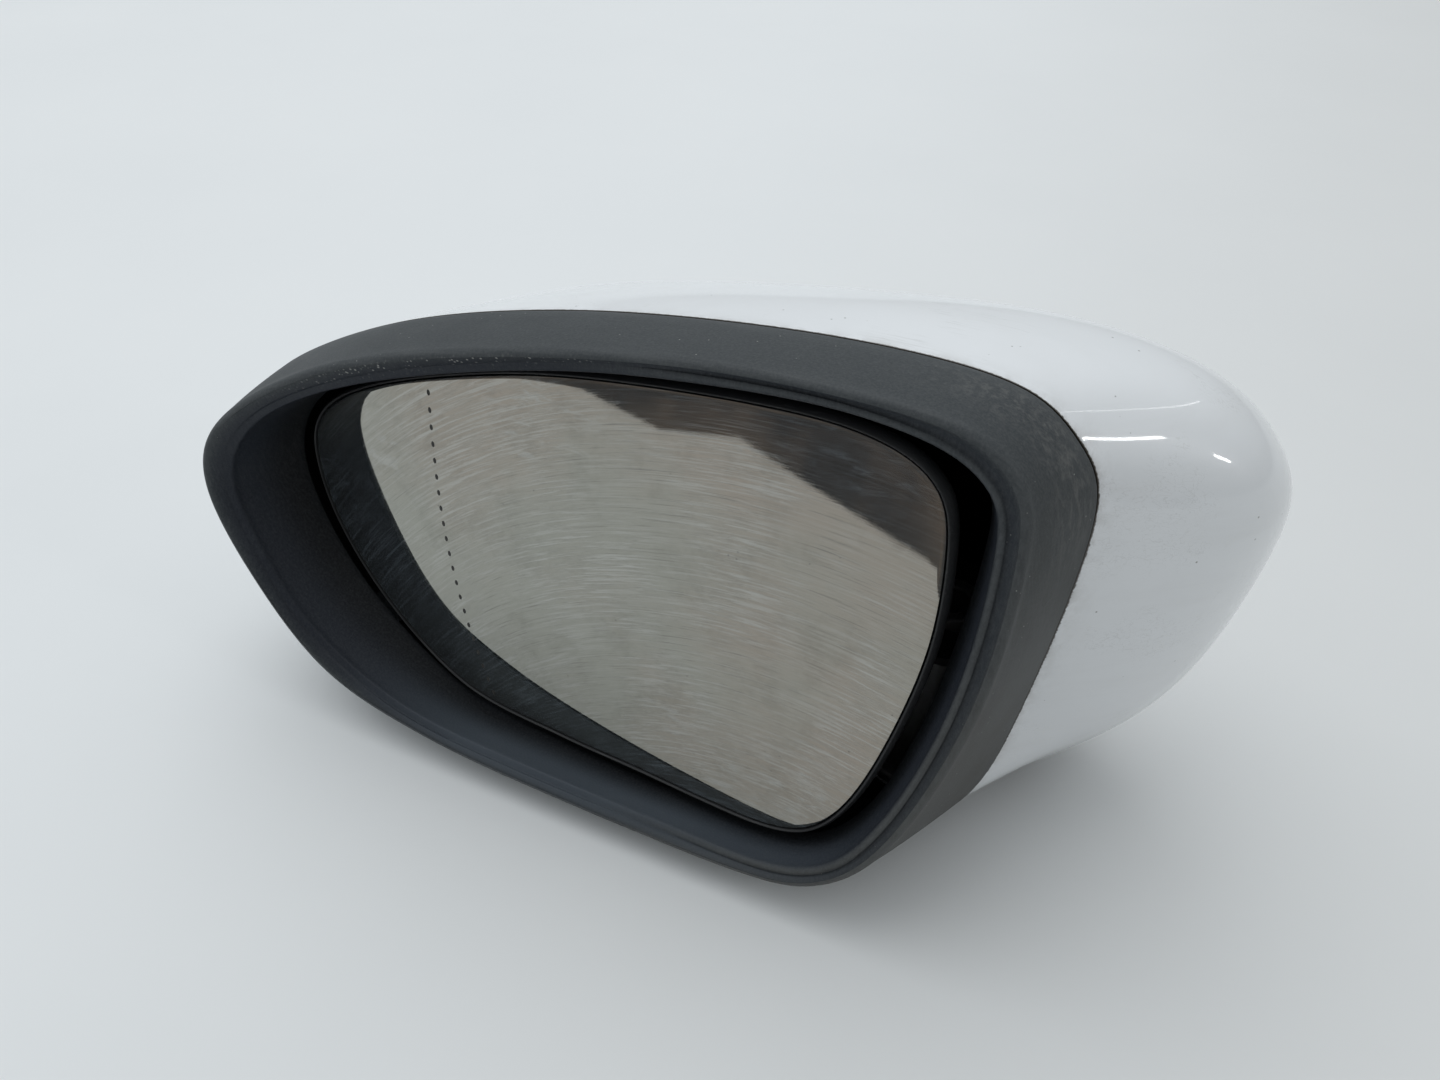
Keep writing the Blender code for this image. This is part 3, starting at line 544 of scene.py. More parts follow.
def grained_plastic():
    """Weathered dark grey moulding: grain, dust, rubbed edges, scuffs and lint, with painted shade
    deep in the mouth and painted light: highlights on lip and crest, light on the funnel's lower
    wall and a warm bounce on the band.
    """
    skin = Finish("grained_plastic", Specular_IOR_Level=0.24)
    zone = skin.value_of("zone")
    edge = skin.value_of("edge")
    dust = skin.value_of("dust")
    patches = skin.noise(26.0, 6.0, 0.6)
    band = skin.mix(patches, (0.027, 0.033, 0.037), (0.041, 0.047, 0.051))
    # Painted shade: the mouth's surfaces darker and bluer the deeper they lie.
    mouth_shade_tone = skin.mix(patches, (0.012, 0.015, 0.022), (0.019, 0.024, 0.034))
    # Painted light where the lower funnel wall faces up, shown as a pale bluish film of settled dust.
    lit_powder_tone = skin.mix(patches, (0.048, 0.060, 0.076), (0.064, 0.078, 0.095))
    mouth_shade_tone = skin.mix(skin.value_of("lit_powder"), mouth_shade_tone, lit_powder_tone)
    # Painted shade: the funnel darkens to near black over its deepest rows.
    mouth_shade_tone = skin.mix(skin.fit(skin.value_of("funnel_shade"), 0.30, 0.95), mouth_shade_tone, (0.004, 0.005, 0.007))
    colour = skin.mix(zone, band, mouth_shade_tone)
    # Dust on the band's inboard side, warmed and paled by painted bounce light from the table.
    warm = skin.math("MULTIPLY", dust, skin.fit(patches, 0.2, 0.75, 0.55, 1.0))
    colour = skin.mix(skin.math("MULTIPLY", warm, 0.7), colour, (0.098, 0.092, 0.080))
    # Rubbed edges, partly a painted highlight along the rolled lip and the crest.
    rub = skin.noise(1.0, 4.0, 0.6, skin.stretch((40.0, 900.0, 120.0), (0.3, 0.2, 0.5)))
    rub_and_highlight = skin.math("MULTIPLY", edge, skin.fit(rub, 0.35, 0.7, 0.25, 1.0))
    colour = skin.mix(skin.math("MULTIPLY", rub_and_highlight, 0.42), colour, (0.115, 0.122, 0.125))
    grains = skin.fit(skin.noise(1700.0, 3.0, 0.7), 0.36, 0.66)
    tall = skin.fit(skin.noise(1.0, 3.0, 0.6, skin.stretch((1500.0, 1500.0, 260.0))), 0.40, 0.66)
    shown = skin.fit(zone, 1.0, 0.3, 0.08, 0.19)
    grains = skin.math("MULTIPLY", skin.math("ADD", grains, tall), shown)
    colour = skin.mix(grains, colour, (0.095, 0.101, 0.104))
    wear = skin.noise(1.0, 5.0, 0.7, skin.stretch((520.0, 520.0, 110.0), (0.25, 0.0, 0.0)))
    wear = skin.math("MULTIPLY", skin.fit(wear, 0.42, 0.68), skin.value_of("scuff"))
    colour = skin.mix(skin.math("MULTIPLY", wear, 0.55), colour, (0.140, 0.140, 0.135))
    lint = skin.math("MULTIPLY", skin.specks(520.0, 0.12, 0.58), skin.fit(zone, 0.9, 0.3))
    ledge = skin.math("MULTIPLY", skin.specks(750.0, 0.30, 0.38), skin.value_of("lint"))
    lint = skin.math("MAXIMUM", lint, ledge)
    colour = skin.mix(skin.math("MULTIPLY", lint, 0.8), colour, (0.36, 0.36, 0.34))
    skin.set("Base Color", skin.mix(skin.value_of("inside"), colour, (0.006, 0.006, 0.007)))
    skin.set("Roughness", skin.fit(patches, 0.25, 0.8, 0.50, 0.66))
    coarse = skin.bump(skin.cells(1500.0), 0.30, 0.00010)
    skin.set("Normal", skin.bump(skin.noise(3200.0, 3.0, 0.6), 0.35, 0.00008, coarse))
    return skin.material


def wiping_arcs(glass, across, up):
    """Coordinates along and across the arcs of a cloth swung round a spot under the glass."""
    right = glass.math("SUBTRACT", across, WIPE_CENTRE[0])
    above = glass.math("SUBTRACT", up, WIPE_CENTRE[1])
    reach = glass.math("SQRT", glass.math("ADD", glass.math("MULTIPLY", right, right),
                                          glass.math("MULTIPLY", above, above)))
    angle = glass.math("ARCTAN2", above, right)
    inputs = {"X": glass.math("MULTIPLY", reach, 1550.0), "Y": glass.math("MULTIPLY", angle, 7.5)}
    return glass.add("ShaderNodeCombineXYZ", inputs).outputs["Vector"]


def mirror_coating():
    """Silvered glass under a dull film that a cloth has dragged into arcs."""
    glass = Finish("silvered_glass", Metallic=1.0)
    across = glass.value_of("glass_x")
    up = glass.value_of("glass_y")
    arcs = wiping_arcs(glass, across, up)
    streaks = glass.noise(1.0, 6.0, 0.72, arcs, 0.5)
    hairs = glass.noise(1.0, 4.0, 0.7, glass.stretch((1.7, 0.9, 1.0), vector=arcs), 0.1)
    crossing = glass.noise(1.0, 4.0, 0.6, glass.stretch((90.0, 900.0, 300.0), (0.0, 0.0, 0.9)), 0.5)
    cloud = glass.noise(26.0, 6.0, 0.65)
    patch = glass.fit(cloud, 0.36, 0.60, 0.30, 1.0)
    film = glass.math("MULTIPLY", glass.fit(streaks, 0.45, 0.64), patch)
    smears = glass.fit(glass.noise(17.0, 4.0), 0.50, 0.62)
    turned_film = glass.math("MULTIPLY", glass.fit(crossing, 0.50, 0.66), smears)
    film = glass.math("MAXIMUM", film, turned_film)
    thin = glass.fit(cloud, 0.62, 0.42)
    dark_hairs = glass.math("MULTIPLY", glass.fit(hairs, 0.45, 0.34), thin)
    apart = glass.math("ABSOLUTE", glass.math("SUBTRACT", streaks, 0.5))
    crowded = glass.fit(cloud, 0.38, 0.58, 0.2, 1.0)
    hairlines = glass.math("MULTIPLY", glass.fit(apart, 0.030, 0.006), crowded)
    blotch = glass.fit(glass.noise(70.0, 6.0, 0.7), 0.45, 0.72)
    cool = glass.mix(blotch, (0.350, 0.348, 0.303), (0.300, 0.298, 0.256))
    warm = glass.mix(blotch, (0.368, 0.324, 0.272), (0.306, 0.268, 0.222))
    # Greyer low and outboard, browner toward the upper inboard corner.
    lean = glass.math("ADD", glass.math("MULTIPLY", across, 4.0), glass.math("MULTIPLY", up, 5.0))
    lean = glass.math("ADD", lean, glass.fit(glass.noise(14.0, 4.0), 0.3, 0.7, -0.35, 0.35))
    colour = glass.mix(glass.fit(lean, -0.35, 0.55), cool, warm)
    colour = glass.mix(glass.math("MULTIPLY", film, 0.70), colour, (0.490, 0.480, 0.437))
    colour = glass.mix(glass.math("MULTIPLY", dark_hairs, 0.70), colour, (0.200, 0.190, 0.165))
    colour = glass.mix(glass.math("MULTIPLY", hairlines, 0.40), colour, (0.205, 0.198, 0.175))
    grime = glass.specks(330.0, 0.11, 0.60)
    colour = glass.mix(glass.math("MULTIPLY", grime, 0.5), colour, (0.10, 0.10, 0.09))
    glass.set("Base Color", colour)
    greasy = glass.fit(blotch, 0, 1, 0.0, 0.02)
    glass.set("Roughness", glass.math("ADD", glass.fit(film, 0.0, 1.0, 0.015, 0.06), greasy))
    glass.set("Normal", glass.bump(streaks, 0.08, 0.00002))
    haze = glass.add("ShaderNodeBsdfDiffuse", {"Color": (0.33, 0.40, 0.46)})
    inputs = {"Fac": glass.fit(film, 0.0, 1.0, 0.035, 0.11), 1: glass.shader.outputs[0],
              2: haze.outputs[0]}
    output = next(node for node in glass.tree.nodes if node.type == "OUTPUT_MATERIAL")
    glass.feed(output.inputs["Surface"], glass.add("ShaderNodeMixShader", inputs).outputs[0])
    return glass.material


def moulded_plastic(name, dark, light, rough):
    """Plain moulding: flow marks, fine grain, fine scuffs."""
    plastic = Finish(name, Specular_IOR_Level=0.45)
    flow = plastic.noise(1.0, 5.0, 0.6, plastic.stretch((60.0, 25.0, 140.0), (0.3, 0.6, 0.2)), 0.6)
    colour = plastic.mix(flow, dark, light)
    scuffs = plastic.scratches(30.0, 700.0, (0.7, 0.4, 0.2), 0.0, 0.02)
    paler = tuple(min(1.0, c * 1.7 + 0.03) for c in light)
    colour = plastic.mix(plastic.math("MULTIPLY", scuffs, 0.4), colour, paler)
    plastic.set("Base Color", colour)
    plastic.set("Roughness", plastic.fit(flow, 0.2, 0.8, rough - 0.08, rough + 0.1))
    grain = plastic.bump(plastic.noise(1800.0, 3.0), 0.18, 0.00006)
    plastic.set("Normal", plastic.bump(scuffs, 0.3, 0.00003, grain))
    return plastic.material


def worked_metal(name, dark, light, rough, cast=False):
    """Metal: turning lines on machined pieces, a pitted skin on castings."""
    metal = Finish(name, Metallic=1.0)
    broad = metal.noise(55.0, 6.0, 0.6)
    colour = metal.mix(broad, dark, light)
    stain = metal.fit(metal.noise(130.0, 6.0, 0.7), 0.56, 0.78)
    colour = metal.mix(metal.math("MULTIPLY", stain, 0.5), colour, tuple(c * 0.45 for c in dark))
    metal.set("Base Color", colour)
    metal.set("Roughness", metal.fit(broad, 0.2, 0.8, rough - 0.08, rough + 0.14))
    if cast:
        skin = metal.bump(metal.cells(900.0), 0.35, 0.00012)
        metal.set("Normal", metal.bump(metal.noise(2600.0, 3.0), 0.3, 0.00006, skin))
    else:
        lines = metal.noise(1.0, 3.0, 0.5, metal.stretch((80.0, 80.0, 4200.0)))
        metal.set("Normal", metal.bump(lines, 0.22, 0.00005))
    return metal.material


def printed_foil():
    """Heater foil with its meandering track."""
    foil = Finish("heater_foil", Roughness=0.45)
    wave = foil.add("ShaderNodeTexWave", {"Vector": foil.place, "Scale": 75.0, "Distortion": 0.6},
                    wave_type="BANDS", bands_direction="X", wave_profile="TRI")
    track = foil.fit(wave.outputs["Fac"], 0.45, 0.55)
    colour = foil.mix(track, (0.30, 0.20, 0.10), (0.62, 0.38, 0.18))
    tarnish = foil.math("MULTIPLY", foil.noise(40.0, 5.0), 0.3)
    foil.set("Base Color", foil.mix(tarnish, colour, (0.2, 0.16, 0.12)))
    foil.set("Normal", foil.bump(track, 0.3, 0.00008))
    return foil.material


FINISHES = {
    "white_paint": gloss_paint(),
    "textured_black": grained_plastic(),
    "mirror": mirror_coating(),
    "black_plastic": moulded_plastic("black_moulding", (0.012, 0.013, 0.014),
                                     (0.022, 0.023, 0.025), 0.5),
    "natural_plastic": moulded_plastic("natural_acetal", (0.66, 0.65, 0.60),
                                       (0.76, 0.75, 0.71), 0.42),
    "steel": worked_metal("bright_steel", (0.44, 0.44, 0.45), (0.60, 0.60, 0.61), 0.30),
    "cast_alloy": worked_metal("cast_alloy", (0.36, 0.37, 0.38), (0.50, 0.51, 0.52), 0.48,
                               cast=True),
    "brass": worked_metal("brass", (0.60, 0.44, 0.20), (0.74, 0.58, 0.30), 0.30),
    "heater_foil": printed_foil(),
}


def dress_frame():
    """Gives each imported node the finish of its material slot."""
    for part in frame["record"]["subparts"]:
        node = frame["nodes"][part["node"]]
        node.data.materials.clear()
        node.data.materials.append(FINISHES[part["material_slot"]])


# -------------------------------- front bezel

def share_near(loop, span):
    """One for the points near the span's middle bearing, fading to none at its reach."""
    middle, reach, fade = span
    offset = loop - loop_centre(LIP)
    angle = np.degrees(np.arctan2(offset[:, 1], offset[:, 0]))
    away = np.abs((angle - middle + 180) % 360 - 180)
    share = np.clip((reach - away) / fade, 0, 1)
    return share * share * (3 - 2 * share)


def widened(points, grow):
    """An outline of the bezel, moved outwards on its inboard side."""
    return push_out(sample(points), grow * share_near(sample(LIP), INBOARD))


def bezel_profile(lip):
    """The ring's section as key rings, from the seam round the lip and the funnel and back.

    Each row has its ring, how much painted shade it takes for lying deep in the mouth or in the
    cove (less on the crest, a painted highlight), how much its edge is rubbed and lit by a
    painted highlight, and how many rings the span after it gets.
    """
    plain_lip = sample(LIP)
    coved = share_near(plain_lip, COVED)
    skirt = THROAT_SKIRT * share_near(plain_lip, SKIRTED)
    over_glass = share_near(plain_lip, OVER_GLASS)
    crest = widened(CREST, CREST_GROWTH)
    throat = widened(THROAT, THROAT_GROWTH)
    seam = sample(SEAM)
    sideways = math.tan(VIEW_AZIMUTH)
    upwards = math.tan(VIEW_ELEVATION) / math.cos(VIEW_AZIMUTH)
    toward_view = np.array((sideways, upwards))

    def crest_ring(grow, depth):
        """The crest's outline is as the viewpoint sees it, so it shifts with its depth."""
        level = CREST_LEVEL + (depth - CREST_LEVEL) * over_glass
        return at_depth(push_out(crest, grow) + level[:, None] * toward_view, depth)

    def between(share, depth):
        return at_depth(lip * (1 - share) + (crest + toward_view * CREST_LEVEL) * share, depth)

    def cove(plain, hollow):
        """A value that is plain over the glass and outboard, and hollow where the lip is coved."""
        return plain + (hollow - plain) * coved

    def funnel(share, grow=0.0, drop=0.0):
        start = crest_ring(-0.9, cove(CREST_LEVEL - 2.6, CREST_LEVEL - 1.6))
        ring = start * (1 - share) + at_depth(throat, throat_depth(throat) - skirt) * share
        ring[:, :2] = push_out(ring[:, :2], grow)
        ring[:, 2] -= drop
        return ring

    def behind(grow, lift):
        """The rear edge, which hooks behind the shells."""
        return at_depth(push_out(seam, grow - SHELL), rear + lift)

    rear = seam_depth(seam)
    rear_ring = at_depth(seam, rear)
    lip_ring = at_depth(lip, -3.2)
    band = [rear_ring * (1 - t) + lip_ring * t for t in (0.06, 0.3, 0.55, 0.8)]
    for ring, crown in zip(band, (0.05, 0.25, 0.35, 0.25)):
        ring[:, :2] = push_out(ring[:, :2], crown)
    return [
        (at_depth(push_out(seam, -0.45), rear), 0.0, 0.9, 2),
        (at_depth(push_out(seam, -0.1), rear + 0.25), 0.0, 1.0, 2),
        (band[0], 0.0, 0.7, 5),
        (band[1], 0.0, 0.0, 5),
        (band[2], 0.0, 0.0, 5),
        (band[3], 0.0, 0.0, 4),
        (lip_ring, 0.0, 0.1, 3),
        (at_depth(push_out(lip, -0.55), -1.35), 0.05, 0.5, 3),
        (at_depth(push_out(lip, -1.5), -0.35), 0.1, 0.8, 3),
        (at_depth(push_out(lip, -2.5), -0.05), 0.12, 0.7, 4),
        # Painted shade in the cove's hollow, and a painted highlight where the crest rises after it.
        (between(0.42, cove(-0.35, -0.75)), cove(0.2, 0.45), 0.2, 3),
        (between(0.54, cove(-0.85, -1.65)), cove(0.55, 0.6), 0.0, 3),
        (between(0.68, cove(-1.5, -2.5)), cove(0.8, 0.65), 0.0, 3),
        (between(0.80, cove(-2.1, -2.5)), cove(0.9, 0.55), 0.0, 3),
        (crest_ring(0.95, cove(-2.7, CREST_LEVEL)), cove(0.95, 0.3), cove(0.0, 0.25), 3),
        (crest_ring(-0.1, cove(-3.3, CREST_LEVEL - 0.05)), cove(1.0, 0.3), cove(0.0, 0.6), 3),
        (crest_ring(-0.85, cove(-3.9, CREST_LEVEL - 0.85)), cove(1.0, 0.7), cove(0.0, 0.2), 3),
        (funnel(0.04), 1.0, 0.0, 4),
        (funnel(0.2), 1.0, 0.0, 8),
        (funnel(0.6), 1.0, 0.0, 8),
        (funnel(0.97), 1.0, 0.1, 2),
        (funnel(1.0, grow=0.5, drop=0.35), 1.0, 0.2, 2),
        (funnel(1.0, grow=1.4, drop=0.2), 1.0, 0.0, 2),
        (funnel(0.97, grow=1.8), 1.0, 0.0, 5),
        (funnel(0.5, grow=1.9, drop=0.6), 1.0, 0.0, 5),
        (at_depth(push_out(lip, -3.4), -4.6), 1.0, 0.0, 1),
        (behind(-2.0, 3.0), 1.0, 0.0, 1),
        (behind(-2.0, -TONGUE), 1.0, 0.0, 1),
        (behind(-0.9, -TONGUE), 1.0, 0.0, 1),
        (behind(-0.9, 0.1), 1.0, 0.0, 1),
        (behind(0.2, 0.0), 0.5, 0.0, 0),
    ]


def rows_off(row, marks):
    """How far a key ring is past the middle of some marks, in their spread."""
    middle, spread = marks
    return (row - middle) / spread


def front_bezel():
    """The ring: flat outer band, rolled lip, cove, crest, then the funnel down to the glass."""
    lip = widened(LIP, LIP_GROWTH)
    rows = bezel_profile(lip)
    full = []
    for i, (ring, zone, edge, _) in enumerate(rows):
        # Per ring: painted shade by depth in the mouth, rubbed edges partly painted as highlights, dust with a
        # painted warm bounce, lint, scuffs, painted shade down the funnel and painted light on its lower wall.
        values = {
            "zone": np.broadcast_to(zone, AROUND),
            "edge": np.broadcast_to(edge, AROUND),
            "dust": share_near(lip, DUSTY_BOUNCE) * (1 - np.broadcast_to(zone, AROUND)) ** 2,
            "lint": share_near(lip, LINTY) * math.exp(-rows_off(i, LINT_ROWS) ** 2),
            "scuff": share_near(lip, SCUFFED) * math.exp(-rows_off(i, SCUFF_ROWS) ** 2),
            "funnel_shade": np.full(AROUND, min(max(rows_off(i, FUNNEL_SHADE_ROWS), 0.0), 1.0)),
            "lit_powder": share_near(lip, LIT_POWDER),
        }
        full.append(np.column_stack((ring, *values.values())))
    rings = np.array(through_rings(full, [row[3] for row in rows[:-1]]))
    flat = rings.reshape(-1, rings.shape[-1])
    attributes = {key: flat[:, column] for column, key in enumerate(values, start=3)}
    for key in list(values)[2:]:
        attributes[key] = np.clip(attributes[key], 0, 1)
    obj = loft("front_bezel_ring", [from_head(ring[:, :3]) for ring in rings], closed=True,
               attributes=attributes)
    return complete(obj, "head", "textured_black", ["front_bezel"], sharp=50.0)


# -------------------------------- outer shells

# Smoothing passes over the skin, and how far grime reaches in from its seam in millimetres.
FAIRING = 12
EDGE_REACH = 2.2


def hull_rings():
    """Rings of the outer skin from the seam to the back."""
    seam = sample(SEAM)
    shoulder = sample(SHOULDER)
    rear = seam_depth(seam)
    pole = np.array((*POLE_CENTRE, -POLE_DEPTH))
    keys = [at_depth(seam, rear - SEAM_GAP),
            at_depth(shoulder, -SHOULDER_DEPTH + 0.35 * (seam_depth(shoulder) + SEAM_DEPTH)),
            at_depth(sample(BELLY), -BELLY_DEPTH),
            at_depth(sample(BACK), -BACK_DEPTH)]
    crown = keys[-1] * 0.58 + pole * 0.42
    crown[:, 2] = -BACK_DEPTH - 0.80 * (POLE_DEPTH - BACK_DEPTH)
    cap = crown * 0.4 + pole * 0.6
    cap[:, 2] = -POLE_DEPTH + 0.3
    rings = through_rings([*keys, crown, cap], (16, 16, 16, 14, 8))
    return [press_flat(ring) for ring in rings], pole


def press_flat(ring):
    """Presses the belly flat where it would reach below the surface that the head stands on."""
    height = ring @ UP_IN_HEAD + HEAD_ORIGIN[2] / MM
    return ring - np.minimum(height, 0.0)[:, None] * UP_IN_HEAD


def fair(rings, passes):
    """Evens the skin between its first and last rings."""
    grid = np.array(rings)
    for _ in range(passes):
        middle = grid[1:-1]
        around = (np.roll(middle, 1, 1) + np.roll(middle, -1, 1)) / 2
        grid[1:-1] = 0.5 * middle + 0.25 * around + 0.125 * (grid[:-2] + grid[2:])
    return list(grid)


def cut_level(bm, level, keep_above):
    """Cuts a mesh at a height and keeps what is above or below it."""
    side = {"clear_inner": True} if keep_above else {"clear_outer": True}
    everything = bm.verts[:] + bm.edges[:] + bm.faces[:]
    bmesh.ops.bisect_plane(bm, geom=everything, plane_co=(0, 0, level), plane_no=(0, 0, 1), **side)


def hull_shell(name, keep_above):
    """The outer skin above or below its split, as a wall with rounded rims."""
    rings, pole = hull_rings()
    rings = fair(rings, FAIRING)
    gaps = [np.linalg.norm(b - a, axis=1).mean() for a, b in zip(rings, rings[1:])]
    away = np.cumsum([0.0] + gaps)
    edge = np.repeat(np.exp(-away / EDGE_REACH), AROUND)
    obj = loft(name, [from_head(ring) for ring in rings], last_pole=from_head(pole),
               attributes={"edge": edge})
    bm = bmesh.new()
    bm.from_mesh(obj.data)
    level = (SPLIT_HEIGHT + (SEAM_GAP / 2 if keep_above else -SEAM_GAP / 2)) * MM
    cut_level(bm, level, keep_above)
    near = 0.45 * MM
    on_cut = [v for v in bm.verts if abs(v.co.z - level) < near]
    bmesh.ops.remove_doubles(bm, verts=on_cut, dist=0.4 * MM)
    for v in on_cut:
        if v.is_valid and v.is_boundary and abs(v.co.z - level) < near:
            v.co.z = level
    bm.to_mesh(obj.data)
    outer_skin = BVHTree.FromBMesh(bm)
    bm.free()
    wall = obj.modifiers.new("wall", "SOLIDIFY")
    wall.thickness = SHELL * MM
    wall.offset = -1.0
    wall.use_even_offset = True
    rounding = obj.modifiers.new("rounded_rim", "BEVEL")
    rounding.width = 0.5 * MM
    rounding.segments = 2
    rounding.limit_method = "ANGLE"
    rounding.angle_limit = math.radians(55)
    rounding.use_clamp_overlap = True
    apply_modifiers(obj)
    below = np.array([outer_skin.find_nearest(v.co)[3] for v in obj.data.vertices]) / (SHELL * MM)
    write_values(obj.data, "inside", np.clip(below * 2 - 0.6, 0, 1))
    return obj


def joint_tongue():
    """A tongue behind the joint of the two shells, so that no light passes through it."""
    reach_down = 4.0
    reach_up = 2.5
    gap = 0.25
    thickness = 1.1
    rings, pole = hull_rings()
    rings = fair(rings, FAIRING)
    obj = loft("joint_tongue", [from_head(ring) for ring in rings], last_pole=from_head(pole))
    bm = bmesh.new()
    bm.from_mesh(obj.data)
    cut_level(bm, (SPLIT_HEIGHT - reach_down) * MM, keep_above=True)
    cut_level(bm, (SPLIT_HEIGHT + reach_up) * MM, keep_above=False)
    bm.normal_update()
    for v in bm.verts:
        v.co -= v.normal * (SHELL + gap) * MM
    bm.to_mesh(obj.data)
    bm.free()
    wall = obj.modifiers.new("wall", "SOLIDIFY")
    wall.thickness = thickness * MM
    wall.offset = -1.0
    apply_modifiers(obj)
    return complete(obj, "head", "textured_black", [])


def painted_cap():
    obj = hull_shell("painted_cap_shell", keep_above=True)
    return complete(obj, "head", "white_paint", ["painted_cap"])


def lower_housing():
    obj = hull_shell("lower_housing_shell", keep_above=False)
    bore = FLANGE_RADIUS + 1.2
    seat = FLANGE_RADIUS + 3.4
    profile = [(0.01, 14), (bore, 14), (bore, 1.1), (seat, 0.7), (seat, -3), (0.01, -3)]
    carve(obj, turned("flange_hole", profile, 128, FOLD_CENTRE))
    return complete(obj, "head", "textured_black", ["lower_housing"])


# -------------------------------- glass

GLASS_STATIONS = station_angles(GLASS, AROUND_GLASS)


def glass_surface(loop, lift):
    """A loop laid on the glass's surface, lifted off it or sunk below it."""
    return at_depth(loop, glass_sag(loop) + GLASS_LEVEL + lift)


def mirror_glass():
    edge = sample(GLASS, GLASS_STATIONS)
    shares = np.linspace(0.04, 0.985, 40)
    front = [glass_surface(edge * share, 0.0) for share in shares]
    arris = [glass_surface(push_out(edge, grow), lift) for grow, lift in
             ((-0.45, -0.02), (-0.12, -0.12), (0.0, -0.45), (0.0, 0.3 - GLASS_THICKNESS),
              (-0.3, -GLASS_THICKNESS))]
    back = [glass_surface(edge * share, -GLASS_THICKNESS) for share in (0.9, 0.6, 0.3)]
    rings = front + arris + back
    flat = np.vstack(rings)
    obj = loft("mirror_glass_pane", [from_glass(ring) for ring in rings],
               first_pole=from_glass((0, 0, GLASS_LEVEL + GLASS_BULGE)),
               last_pole=from_glass((0, 0, GLASS_LEVEL + GLASS_BULGE - GLASS_THICKNESS)),
               attributes={"glass_x": flat[:, 0] * MM, "glass_y": flat[:, 1] * MM})
    return complete(obj, "glass", "mirror", ["mirror_glass"])


def asphere_marks():
    """The row of printed dots where the outer zone of the glass begins to curve more."""
    verts = []
    faces = []
    sides = 20
    angles = 2 * math.pi * np.arange(sides) / sides
    oval = np.column_stack((0.78 * np.cos(angles), 1.12 * np.sin(angles)))
    up = MARKS_TOP
    for _ in range(MARKS):
        bend = max(MARKS_LEVEL - up, 0.0) ** 2 + 0.4 * max(up - MARKS_LEVEL, 0.0) ** 2
        centre = np.array((MARKS_ACROSS + MARKS_BOW * bend, up))
        rings = [from_glass(glass_surface(centre + radius * oval, lift))
                 for radius, lift in ((0.80, 0.0), (0.74, 0.035), (0.40, 0.045))]
        start = len(verts)
        verts += list(np.vstack(rings))
        for k in range(2):
            faces += quads(start + k * sides, start + (k + 1) * sides, sides)
        faces.append(tuple(start + 2 * sides + j for j in range(sides)))
        faces.append(tuple(start + j for j in reversed(range(sides))))
        up -= MARKS_STEP + MARKS_STRETCH * up
    obj = mesh_object("asphere_marks", verts, faces)
    ink = moulded_plastic("printed_dots", (0.030, 0.030, 0.028), (0.050, 0.048, 0.044), 0.6)
    obj.data.materials.append(ink)
    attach(obj, "glass")
    return obj


def glass_holder():
    """Tray, upstanding rim and hub of the glass holder."""
    tray = -GLASS_THICKNESS - HEATER_THICKNESS - 2 * FIT_GAP
    back = tray - HOLDER_THICKNESS
    edge = sample(GLASS, GLASS_STATIONS)
    hub = np.column_stack((np.cos(GLASS_STATIONS), np.sin(GLASS_STATIONS)))
    hub_level = GLASS_LEVEL + GLASS_BULGE + back
    pin_level = -3.6
    rim = ((FIT_GAP, tray), (FIT_GAP, -0.25), (0.5, 0.25), (0.75, 0.46), (0.95, 0.44), (1.25, 0.1),
           (1.7, -0.9), (1.9, -1.8), (1.9, tray + 0.6), (1.6, tray - 0.3), (0.1, back + 0.2),
           (-0.4, back))
    rings = [glass_surface(edge * share, tray) for share in (0.2, 0.5, 0.8)]
    rings += [glass_surface(push_out(edge, grow), lift) for grow, lift in rim]
    rings += [glass_surface(edge * share, back) for share in (0.8, 0.5, 0.2)]
    rings += [at_depth(hub * radius, level) for radius, level in
              ((9.0, hub_level), (6.2, hub_level - 0.8), (5.5, hub_level - 3.0),
               (5.5, pin_level + 0.6), (4.9, pin_level))]
    obj = loft("glass_holder_tray", [from_glass(ring) for ring in rings],
               first_pole=from_glass((0, 0, GLASS_LEVEL + GLASS_BULGE + tray)),
               last_pole=from_glass((0, 0, pin_level)))
    carve(obj, pin_bore())
    return complete(obj, "glass", "black_plastic", ["glass_holder"])


def pin_bore():
    """Cutter for the bore in which the gimbal's pin runs, along the glass frame's Y."""
    radius = 1.6
    half_length = 9.0
    sides = 32
    angles = 2 * math.pi * np.arange(sides) / sides
    across, out = radius * np.cos(angles), radius * np.sin(angles)
    ends = [from_glass(np.column_stack((across, np.full(sides, y), out)))
            for y in (-half_length, half_length)]
    return loft("pin_bore", ends, first_pole=from_glass((0, -half_length, 0)),
                last_pole=from_glass((0, half_length, 0)))


# -------------------------------- pivot flange

SCREWS = 3
SCREW_CIRCLE = 16.0


